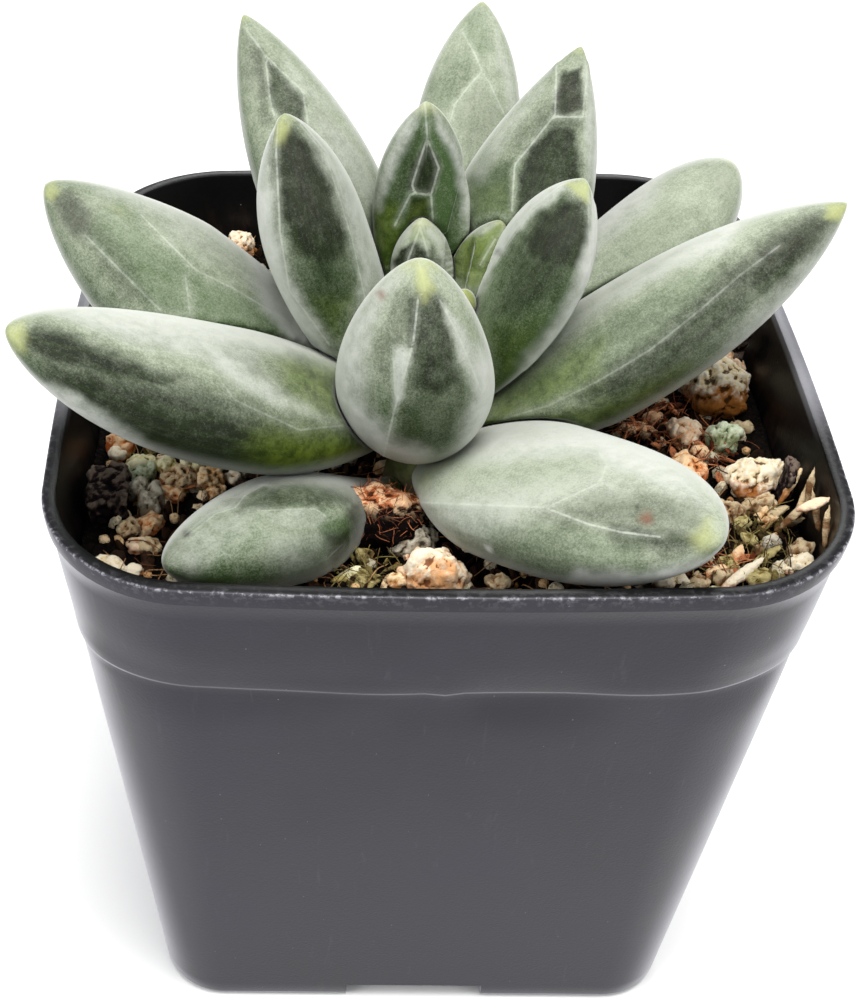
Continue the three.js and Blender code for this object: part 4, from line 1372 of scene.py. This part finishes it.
def wandering(places):
    """Shifts places in the picture a little, so that a painted edge wavers as a real one does."""
    x, y = places.T
    shift_x = 1.4 * np.sin(0.13 * x + 0.1 * y) + 0.7 * np.sin(0.33 * y - 0.27 * x + 1.7)
    shift_y = 1.4 * np.sin(0.12 * y - 0.14 * x + 0.9) + 0.7 * np.sin(0.29 * x + 0.35 * y + 2.6)
    return np.stack([x + shift_x, y + shift_y], 1)


def zone_marks(name, points, seen):
    """How strong each tone is at each point of a leaf."""
    places = wandering(in_picture(points))
    marks = {tone: np.zeros(len(points)) for tone in TONES}
    for tone, strength, softness, outline in ZONES.get(name, ()):
        mask = inside_zone(outline, places, softness * EDGE_SOFTNESS) * seen * strength
        marks[tone] = np.maximum(marks[tone], mask)
        if tone == "pale":
            marks["dark"] *= 1 - mask
        if tone == "dark":
            marks["pale"] *= 1 - mask
    return marks


def make_leaf(leaf, earlier, material):
    s, angle, middle, points = leaf.grid()
    neighbours = [stem_holds]
    for other in earlier:
        neighbours.append(lambda places, other=other: other.holds(places, DENT_GAP))
    points = dented(middle, points, neighbours)
    tip = leaf.middle(np.ones(1))
    foot = leaf.middle(np.zeros(1))
    skin = np.vstack([points.reshape(-1, 3), foot, tip])
    mesh = make_mesh(leaf.name + "_fine", skin * MM, loft_faces(len(s), LEAF_SIDES))
    normals = mesh_vectors(mesh, "normal")
    seen = faces_camera(skin, normals)
    to_line, plainness = way_to_line(leaf.name, mesh, skin, seen, (len(s), LEAF_SIDES))
    marks = zone_marks(leaf.name, skin, seen)
    ridge = np.exp(-(to_line ** 2).sum(1) / RIDGE_WIDTH ** 2) * plainness
    relief = RIDGE_HEIGHT * ridge - RUBBED_DEPTH * marks["dark"]
    set_points(mesh, (skin + normals * relief[:, None]) * MM)
    line_way = mesh.attributes.new("way_to_line", "FLOAT_VECTOR", "POINT")
    line_way.data.foreach_set("vector", to_line.astype(np.float32).ravel())

    along = np.concatenate([np.repeat(s, LEAF_SIDES), [0, 1]])
    from_tip = (1 - along) * leaf.length
    tip_cap = TIP_GLOW * (1 - smooth_step(from_tip, 0.1, 1.1)) * (leaf.name not in PLAIN_TIPS)
    foot_glow = 1 - smooth_step(along * leaf.length, 1, FOOT_GLOW_REACH * leaf.length)
    # Tops paler and undersides darker: painted top light and underside shade, with each leaf's own paleness
    # added
    upness = smooth_step(normals[:, 2], -0.7, 0.9)
    bloom_and_shading = UNDERSIDE_BLOOM_AND_SHADE + (TOP_BLOOM_AND_LIGHT - UNDERSIDE_BLOOM_AND_SHADE) * upness + PALER.get(leaf.name, 0)
    tip_tone = np.maximum(tip_cap, marks["tip"])
    write_marks(mesh, "leaf_marks", plainness, marks["dark"], marks["fresh"])
    write_marks(mesh, "leaf_tones", marks["pale"], marks["grey"], marks["green"])
    write_marks(mesh, "leaf_place", bloom_and_shading, tip_tone, foot_glow)
    write_marks(mesh, "leaf_spots", marks["rust"], marks["soot"], marks["frost_and_highlight"])
    write_leaf_uv(mesh, len(s))
    return root_piece(leaf.name + "_fine", mesh, material, "leaf_skin", leaf.name)


def write_leaf_uv(mesh, rings):
    """u runs round the leaf, v from its neck to its tip."""
    layer = mesh.uv_layers.new(name="leaf_uv")
    count = rings * LEAF_SIDES
    values = np.zeros((len(mesh.loops), 2), np.float32)
    for face in mesh.polygons:
        corners = list(face.vertices)
        columns = [c % LEAF_SIDES for c in corners if c < count]
        wraps = max(columns) - min(columns) > LEAF_SIDES / 2
        for loop, corner in zip(face.loop_indices, corners):
            if corner >= count:
                column = sum(columns) / len(columns)
                row = 0 if corner == count else rings
            else:
                column = corner % LEAF_SIDES
                row = corner // LEAF_SIDES
                if wraps and column == 0:
                    column = LEAF_SIDES
            values[loop] = (column / LEAF_SIDES, row / rings)
    layer.data.foreach_set("uv", values.ravel())


def make_leaves():
    material = leaf_finish()
    forms = {name: Leaf(name, numbers) for name, numbers in LEAVES.items()}
    earlier = []
    for name in PRESS_ORDER:
        make_leaf(forms[name], earlier, material)
        earlier.append(forms[name])


# Loose pieces on the soil

def neighbour_mean(values, edges, counts):
    total = np.zeros_like(values)
    np.add.at(total, edges[:, 0], values[edges[:, 1]])
    np.add.at(total, edges[:, 1], values[edges[:, 0]])
    return total / counts[:, None]


def mark_stone(mesh, lean):
    """Marks a stone's hollows and ridges, for painted shade and highlights, and how high up on it, or far
    back, a point is, for its two tones and painted top light.
    """
    points = mesh_vectors(mesh) / MM
    normals = mesh_vectors(mesh, "normal")
    edges = np.empty(len(mesh.edges) * 2, np.int32)
    mesh.edges.foreach_get("vertices", edges)
    edges = edges.reshape(-1, 2)
    counts = np.maximum(np.bincount(edges.ravel(), minlength=len(points)), 1)
    smooth = points
    for _ in range(SMOOTHING_ROUNDS):
        smooth = neighbour_mean(smooth, edges, counts)
    stands = ((points - smooth) * normals).sum(1)
    depth = np.clip(0.5 + stands / HOLLOW_SCALE, 0, 1)
    rise = points[:, 2] + lean * points[:, 1]
    rise = (rise - rise.min()) / np.ptp(rise)
    write_marks(mesh, "stone_form", depth, rise)


def weathered(mesh, low, high, relief, scale=1.0, lean=0.0):
    """A rough stone from a plain solid, filling the same box."""
    piece = add_object("blank", mesh)
    remesh = piece.modifiers.new("even", "REMESH")
    remesh.mode = "VOXEL"
    remesh.voxel_size = STONE_VOXEL * MM
    smooth = piece.modifiers.new("soften", "SMOOTH")
    smooth.iterations = 3
    bake_modifiers(piece)
    mesh = piece.data
    bpy.data.objects.remove(piece)
    points = mesh_vectors(mesh) / MM
    normals = mesh_vectors(mesh, "normal")
    for point, normal in zip(points, normals):
        spot = Vector(point) * scale
        lump = noise.fractal(spot * 1.1, 0.8, 2.1, 5)
        knob = 0.5 - noise.voronoi(spot * 0.5 + noise.noise_vector(spot * 0.7) * 0.5)[0][0]
        point += normal * relief * (0.7 * lump + 1.6 * knob)
    size = points.max(0) - points.min(0)
    middle = (points.max(0) + points.min(0)) / 2
    points = (points - middle) * ((high - low) / size) + (high + low) / 2
    set_points(mesh, points * MM)
    mark_stone(mesh, lean)
    mesh.shade_smooth()
    return mesh


# How much further than its solid a stone reaches, at its lowest and highest corners
STONE_REACH = {
    "stone_cream": ((0.4, 0, 0), (0.9, 0.8, 1)), "crust_red": ((-1.4, -0.5, 0), (0.6, 0.2, 1)),
    "stone_pumice": ((-0.3, 0, 0), (0.8, 0.6, 1.8)), "bark_stub": ((-0.4, -0.4, 0), (0, 0.6, 0.8)),
    "stone_cracked": ((-0.4, 0, 0), (0, 0.6, 1.8)), "stone_orange": ((0, 0, 0), (0.3, 0.8, 0.8)),
    "stone_tan": ((-0.2, 0, 0), (0.2, 0.4, 0.8)), "stone_green": ((-0.5, 0, 0), (0, 0.6, 0.8)),
    "stone_grey": ((-0.2, -0.5, 0), (0.2, 0.6, 0.8)), "stone_amber": ((-0.4, 0, 0), (0.2, 0.4, 0.8)),
    "stone_yellow": ((-0.2, 0, 0), (0.6, 0.4, 0.6)),
}


def make_stone(node, material):
    mesh = frame["nodes"][node].data.copy()
    work = bmesh.new()
    work.from_mesh(mesh)
    bmesh.ops.remove_doubles(work, verts=work.verts, dist=1e-6)
    work.to_mesh(mesh)
    work.free()
    low, high = [np.array(corner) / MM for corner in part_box(node)]
    more_low, more_high = STONE_REACH.get(node, ((0, 0, 0), (0, 0, 0)))
    lean = CRUST_LEAN if node == "crust_red" else STONE_LEAN
    mesh = weathered(mesh, low + more_low, high + more_high, STONE_RELIEF, lean=lean)
    mesh.name = node + "_fine"
    return root_piece(node + "_fine", mesh, material, NODE_SLOTS[node], node)


def on_soil(x, y, level):
    """The place on the soil that a place in the picture shows."""
    way = np.array(picture_ray(x, y))
    start = np.array(CAMERA_PLACE)
    spot = start - way * (start[2] - SOIL_LEVEL - level) / way[2]
    for _ in range(3):
        height = float(soil_height(spot[:1], spot[1:2])[0]) + level
        spot = start - way * (start[2] - height) / way[2]
    return spot


# Small stones and chips between the larger ones: place in the picture, size, turn, tilt, how far
# up on the others it lies, and finish
PEBBLES = (
    (141, 474, (3, 2.4, 2.2), 20, 0, 0.3, "moss"), (150, 524, (2.6, 2, 1.8), 60, 0, 0.2, "amber"),
    (181, 478, (3.6, 3, 2.6), 10, 0, 0.3, "mottled"), (192, 464, (2.6, 2, 2), 80, 0, 1, "ochre"),
    (170, 494, (2.4, 2, 1.8), 10, 0, 0.2, "amber"), (166, 464, (2, 1.8, 1.6), 0, 0, 1, "ochre"),
    (232, 478, (1.5, 1.3, 1.2), 0, 0, 0.5, "cream"), (110, 564, (2.8, 1.5, 1.3), 160, 0, 0.4, "cream"),
    (132, 571, (1.8, 1.2, 1.1), 20, 0, 0.3, "cream"), (128, 531, (2, 1.8, 1.6), 45, 0, 0, "mottled"),
    (118, 455, (1.6, 1.4, 1.3), 0, 0, 1.6, "cream"), (148, 548, (2.2, 1.8, 1.5), 0, 0, 0, "mottled"),
    (335, 463, (1.3, 1.2, 1.1), 0, 0, 0.2, "ash"), (383, 468, (1.5, 1.3, 1.2), 30, 0, 0.3, "tan"),
    (416, 541, (4, 3, 2.6), 30, 0, 0.6, "ash"), (400, 579, (2.2, 1.5, 1.4), 0, 0, 0.3, "tan"),
    (498, 582, (2.2, 1.6, 1.3), 0, 0, 0.2, "mottled"), (682, 430, (2.8, 2.4, 2), 0, 0, 0.8, "pink"),
    (700, 452, (1.6, 1.4, 1.2), 0, 0, 0.4, "amber"), (652, 418, (2, 1.6, 1.4), 40, 0, 0.4, "rust"),
    (760, 507, (2.6, 2.2, 2), 10, 0, 0.4, "mottled"), (770, 545, (1.8, 1.5, 1.3), 70, 0, 0.2, "ash"),
    (722, 578, (2, 1.5, 1.3), 0, 0, 0.3, "mottled"), (760, 578, (2.2, 1.6, 1.4), 0, 0, 0.4, "olive"),
    (814, 550, (2, 1.7, 1.5), 50, 0, 0.4, "mottled"), (740, 524, (1.8, 1.5, 1.3), 0, 0, 0.2, "olive"),
    (757, 362, (3, 1.5, 1.5), 120, 25, 0.6, "pink"), (742, 428, (2.2, 1.6, 1.4), 0, 0, 0.2, "mottled"),
    (670, 581, (3, 1.4, 1.2), 0, 0, 0.5, "cream"),
    (727, 566, (1.8, 1.5, 1.4), 0, 0, 0.3, "olive"), (700, 581, (1.8, 1.5, 1.3), 0, 0, 0.4, "mottled"),
    (815, 490, (3.6, 0.6, 0.4), 80, 55, 3.6, "mottled"), (820, 508, (3, 0.6, 0.4), 100, 40, 3.8, "mottled"),
    (832, 505, (2.6, 0.8, 0.6), 20, 10, 5, "pink"), (808, 500, (3.2, 0.7, 0.4), 60, 60, 2.6, "tan"),
    (792, 524, (2.4, 0.6, 0.4), 10, 20, 0.8, "mottled"), (826, 526, (3.2, 0.6, 0.4), 80, 40, 4, "mottled"),
    (810, 514, (3.2, 0.7, 0.4), 30, 35, 2, "mottled"), (802, 488, (3, 0.6, 0.4), 40, 55, 2.2, "tan"),
    (731, 514, (2.4, 2.2, 2.2), 30, 0, 0.4, "mottled"),
    (800, 564, (2.4, 2, 1.7), 20, 0, 0.4, "cream"), (785, 474, (2.6, 2.2, 2), 20, 0, 0.5, "cream"),
    (241, 246, (3, 2.6, 4.4), 20, 0, 0.2, "peach"),
    (137, 489, (2, 1.8, 2.2), 0, 0, 0.4, "ash"), (211, 479, (2.6, 2.2, 2.2), 20, 0, 0.4, "tan"),
    (776, 512, (2.4, 0.9, 0.5), 20, 10, 0.6, "mottled"), (765, 556, (2.8, 0.8, 0.5), 30, 15, 0.6, "olive"),
    (752, 544, (2.2, 1.2, 0.6), 110, 15, 0.4, "olive"),
    (738, 556, (2, 1, 0.6), 60, 20, 0.7, "amber"), (715, 572, (2.2, 1, 0.6), 20, 10, 0.6, "amber"),
    (742, 574, (4.4, 0.8, 0.6), 35, 10, 1.2, "cream"), (812, 476, (2.6, 0.8, 0.5), 80, 60, 1.6, "tan"),
    (690, 480, (2.4, 1.8, 1.6), 40, 0, 0.8, "amber"),
    (345, 575, (2.4, 1, 0.6), 20, 20, 0.5, "ochre"), (365, 562, (2.6, 1, 0.6), 110, 25, 0.6, "olive"),
)


def make_pebble(index, place, size, turn, tilt, lift, material):
    size = np.array(size, float)
    work = bmesh.new()
    bmesh.ops.create_icosphere(work, subdivisions=2, radius=0.5)
    for vertex in work.verts:
        knock = noise.noise_vector(vertex.co * 1.6 + Vector((index, 0, 0)))
        vertex.co = (vertex.co + knock * 0.2) * 1.1
        vertex.co *= Vector(size)
    spot = on_soil(*place, size[2] * (0.5 - SINK) + lift)
    work.transform(Matrix.Rotation(math.radians(-tilt), 4, "Y"))
    work.transform(Matrix.Rotation(math.radians(turn), 4, "Z"))
    reach = max(vertex.co.x for vertex in work.verts)
    wall = RIM_HALF - POT_WALL - WALL_GAP - (POT_HEIGHT - spot[2]) * WALL_SLOPE
    spot[0] -= max(0, spot[0] + reach - wall)
    work.transform(Matrix.Scale(MM, 4) @ Matrix.Translation(spot))
    mesh = bpy.data.meshes.new("pebble")
    work.to_mesh(mesh)
    work.free()
    points = mesh_vectors(mesh) / MM
    name = f"pebble_{index + 1:02d}"
    relief = STONE_RELIEF * min(0.7, size[2] / 2.4)
    mesh = weathered(mesh, points.min(0), points.max(0), relief, 1.6)
    mesh.name = name
    return root_piece(name, mesh, material, "grit_sand")


def make_stones():
    finishes = {name: stone_finish(name) for name in STONE_COLOURS}
    for node, finish in STONES.items():
        make_stone(node, finishes[finish])
    for index, (x, y, size, turn, tilt, lift, finish) in enumerate(PEBBLES):
        make_pebble(index, (x, y), size, turn, tilt, lift, finishes[finish])


# Rubble strewn over the soil

def lump_mesh(name, seed, stretch):
    """A small angular lump about one millimetre long."""
    work = bmesh.new()
    bmesh.ops.create_icosphere(work, subdivisions=2, radius=0.5)
    for vertex in work.verts:
        offset = noise.noise_vector(vertex.co * 2.3 + Vector((seed, seed * 2, seed * 3)))
        vertex.co += offset * 0.16
        vertex.co *= Vector(stretch)
    work.transform(Matrix.Scale(MM, 4))
    mesh = bpy.data.meshes.new(name)
    work.to_mesh(mesh)
    work.free()
    return mesh


def strand_mesh(name, seed, curl):
    """A thin curled fibre about three millimetres long."""
    steps = 9
    sides = 3
    radius = 0.06
    rings = []
    for i in range(steps):
        along = i / (steps - 1)
        sway = noise.noise_vector(Vector((along * 1.6, seed, 0))) * curl
        middle = np.array((3 * (along - 0.5), 0, 0.25 * math.sin(along * math.pi))) + np.array(sway)
        thin = radius * (0.5 + math.sin(math.pi * (0.1 + 0.8 * along)) * 0.5)
        ring = []
        for k in range(sides):
            angle = k / sides * 2 * math.pi
            ring.append(middle + np.array((0, math.cos(angle), math.sin(angle))) * thin)
        rings.append(np.array(ring))
    ends = [rings[0].mean(0), rings[-1].mean(0)]
    return make_mesh(name, np.vstack(rings + [ends]) * MM, loft_faces(steps, sides))


def strew_tree(name, shapes, material):
    """Strews instances of the shapes over a surface and makes them one mesh."""
    tree = bpy.data.node_groups.new(name, "GeometryNodeTree")
    face = tree.interface
    face.new_socket("Surface", in_out="INPUT", socket_type="NodeSocketGeometry")
    for title in ("Spacing", "Density", "Smallest", "Largest", "Tilt"):
        face.new_socket(title, in_out="INPUT", socket_type="NodeSocketFloat")
    face.new_socket("Seed", in_out="INPUT", socket_type="NodeSocketInt")
    face.new_socket("Pieces", in_out="OUTPUT", socket_type="NodeSocketGeometry")
    graph = Graph(tree)
    given = graph.node("NodeGroupInput").outputs
    seed = given["Seed"]
    strewn = graph.node("GeometryNodeDistributePointsOnFaces", {
        "Mesh": given["Surface"], "Distance Min": given["Spacing"],
        "Density Max": given["Density"], "Seed": seed,
    }, distribute_method="POISSON")
    pool = graph.node("GeometryNodeCollectionInfo", {
        "Collection": shapes, "Separate Children": True, "Reset Children": True,
    })
    tilt = graph.node("ShaderNodeCombineXYZ", {0: given["Tilt"], 1: given["Tilt"], 2: 2 * math.pi})
    turn = graph.node("FunctionNodeRandomValue", {
        "Max": tilt.outputs[0], "Seed": seed,
    }, data_type="FLOAT_VECTOR")
    as_turn = graph.node("FunctionNodeEulerToRotation", {0: turn.outputs["Value"]})
    size = graph.node("FunctionNodeRandomValue", {
        2: given["Smallest"], 3: given["Largest"], "Seed": seed,
    }, data_type="FLOAT")
    place = graph.node("GeometryNodeInstanceOnPoints", {
        "Points": strewn.outputs["Points"], "Instance": pool.outputs[0], "Pick Instance": True,
        "Rotation": as_turn.outputs[0], "Scale": size.outputs[1],
    })
    tone = graph.node("FunctionNodeRandomValue", {"Seed": seed}, data_type="FLOAT")
    keep = graph.node("GeometryNodeStoreNamedAttribute", {
        "Name": "grain_tone", "Geometry": place.outputs["Instances"], "Value": tone.outputs[1],
    }, data_type="FLOAT", domain="INSTANCE")
    real = graph.node("GeometryNodeRealizeInstances", {0: keep.outputs[0]})
    paint = graph.node("GeometryNodeSetMaterial", {
        "Material": material, "Geometry": real.outputs[0],
    })
    graph.node("NodeGroupOutput", {"Pieces": paint.outputs[0]})
    return tree


def soil_patch(outlines=None, level=0.0):
    """A piece of the soil's surface as a grid of squares.

    It is all of the surface, or what lies inside the outlines in the picture.
    """
    xs = np.arange(-PATCH_REACH, PATCH_REACH + 0.1, PATCH_STEP)
    edge = pot_ring(SOIL_LEVEL, -POT_WALL - PATCH_EDGE)[:, :2].tolist()
    points = []
    index = {}
    for i, x in enumerate(xs):
        for j, y in enumerate(xs):
            height = float(soil_height(np.array([x]), np.array([y]))[0])
            shown = in_picture(np.array([(x, y, height)]))[0]
            wanted = not outlines or any(within_outline(*shown, outline) for outline in outlines)
            bare = any(within_outline(*shown, outline) for outline in BARE_SOIL)
            if wanted and not bare and within_outline(x, y, edge):
                index[i, j] = len(points)
                points.append((x, y, height + level))
    faces = []
    for i, j in index:
        corners = [(i, j), (i + 1, j), (i + 1, j + 1), (i, j + 1)]
        if all(c in index for c in corners):
            faces.append([index[c] for c in corners])
    return make_mesh("soil_patch", np.array(points) * MM, faces)


def within_outline(x, y, outline):
    inside = False
    for (x0, y0), (x1, y1) in zip(outline, [*outline[1:], outline[0]]):
        if (y0 > y) != (y1 > y) and x < (x1 - x0) * (y - y0) / (y1 - y0) + x0:
            inside = not inside
    return inside


def strew(name, shapes, material, slot_name, patch, **sizes):
    pool = bpy.data.collections.new("pool")
    for shape in shapes:
        pool.objects.link(bpy.data.objects.new("shape", shape))
    tree = strew_tree(name, pool, material)
    piece = add_object("strewn", patch)
    modifier = piece.modifiers.new("strew", "NODES")
    modifier.node_group = tree
    for title, value in sizes.items():
        modifier[tree.interface.items_tree[title].identifier] = value
    bake_modifiers(piece)
    mesh = piece.data
    mesh.name = name
    bpy.data.objects.remove(piece)
    for shape in list(pool.objects):
        bpy.data.objects.remove(shape)
    bpy.data.collections.remove(pool)
    return root_piece(name, mesh, material, slot_name)


# Where the picture shows no rubble, only shadow
BARE_SOIL = (
    [(745, 300), (765, 360), (772, 455), (850, 470), (900, 300)],
    [(30, 380), (92, 425), (84, 500), (104, 560), (40, 560)],
)
# Where it shows clumps of red-brown fibre, and of dry moss
RUSTY_SPOTS = (
    [(600, 400), (680, 400), (740, 460), (725, 500), (690, 470), (610, 448)],
    [(790, 470), (835, 465), (845, 560), (800, 560)],
    [(160, 455), (205, 455), (200, 500), (160, 500)],
    [(700, 560), (760, 555), (750, 585), (640, 590)],
)
MOSSY_SPOTS = (
    [(690, 510), (800, 515), (835, 560), (780, 592), (680, 592)],
    [(320, 540), (400, 540), (400, 590), (320, 590)],
    [(125, 440), (170, 450), (150, 480), (125, 475)],
)


def upper_side(mesh):
    """The part of a piece's skin that faces upwards."""
    work = bmesh.new()
    work.from_mesh(mesh)
    below = [face for face in work.faces if face.normal.z < 0.25]
    bmesh.ops.delete(work, geom=below, context="FACES")
    patch = bpy.data.meshes.new("upper_side")
    work.to_mesh(patch)
    work.free()
    return patch


def make_rubble():
    lumps = [lump_mesh("lump", seed, stretch) for seed, stretch in (
        (1, (1, 0.8, 0.7)), (2, (0.9, 0.9, 0.8)), (3, (1.2, 0.7, 0.6)), (4, (0.8, 1, 0.6)),
    )]
    flakes = [lump_mesh("flake", seed, stretch) for seed, stretch in (
        (5, (1.4, 0.8, 0.25)), (6, (1.1, 0.5, 0.3)), (7, (1.7, 0.45, 0.25)),
    )]
    strands = [strand_mesh("strand", seed, curl) for seed, curl in (
        (11, 0.8), (12, 1.3), (13, 0.5), (14, 1.8),
    )]
    stony = grain_finish("strewn_grit", (
        (110, 74, 44), (176, 128, 84), (222, 184, 134), (246, 230, 196), (164, 158, 134),
    ))
    earthy = grain_finish("strewn_crumbs", (
        (9, 6, 4), (22, 14, 10), (62, 40, 27), (34, 24, 16),
    ))
    woody = grain_finish("strewn_fibres", (
        (56, 32, 20), (122, 76, 44), (190, 150, 104), (96, 62, 40),
    ))
    rusty = grain_finish("strewn_rust", (
        (40, 14, 8), (100, 44, 23), (210, 134, 90), (60, 26, 16),
    ))
    mossy = grain_finish("strewn_moss", (
        (18, 15, 5), (56, 48, 18), (158, 142, 88), (74, 56, 30),
    ))
    strew(
        "crumbs_dark", lumps + flakes, earthy, "potting_mix", soil_patch(),
        Spacing=0.8 * MM, Density=1.1e6, Smallest=0.6, Largest=1.8, Tilt=6.28, Seed=3,
    )
    strew(
        "grit_small", lumps, stony, "grit_sand", soil_patch(level=0.25),
        Spacing=1.2 * MM, Density=4.2e5, Smallest=0.4, Largest=1.7, Tilt=6.28, Seed=8,
    )
    strew(
        "fibres", strands, woody, "wood_chip", soil_patch(level=0.5),
        Spacing=1.2 * MM, Density=4e5, Smallest=0.4, Largest=1.1, Tilt=0.7, Seed=21,
    )
    strew(
        "rust_fibres", strands + flakes, rusty, "wood_chip", soil_patch(RUSTY_SPOTS, 0.9),
        Spacing=0.4 * MM, Density=4e6, Smallest=0.5, Largest=1.1, Tilt=1.1, Seed=5,
    )
    strew(
        "dry_moss", strands + flakes, mossy, "wood_chip", soil_patch(MOSSY_SPOTS, 0.8),
        Spacing=0.45 * MM, Density=3e6, Smallest=0.5, Largest=1.1, Tilt=1.4, Seed=6,
    )
    for name, material, carrier in (
        ("crust_strands", rusty, "crust_red_fine"), ("clump_strands", rusty, "clump_fibre_fine"),
        ("tuft_strands", mossy, "tuft_olive_fine"),
    ):
        strew(
            name, strands, material, "wood_chip", upper_side(bpy.data.objects[carrier].data),
            Spacing=0.3 * MM, Density=6e6, Smallest=0.3, Largest=0.6, Tilt=1.2, Seed=9,
        )


make_camera()
make_studio()
make_pot()
make_soil()
make_stem()
make_leaves()
make_stones()
make_rubble()
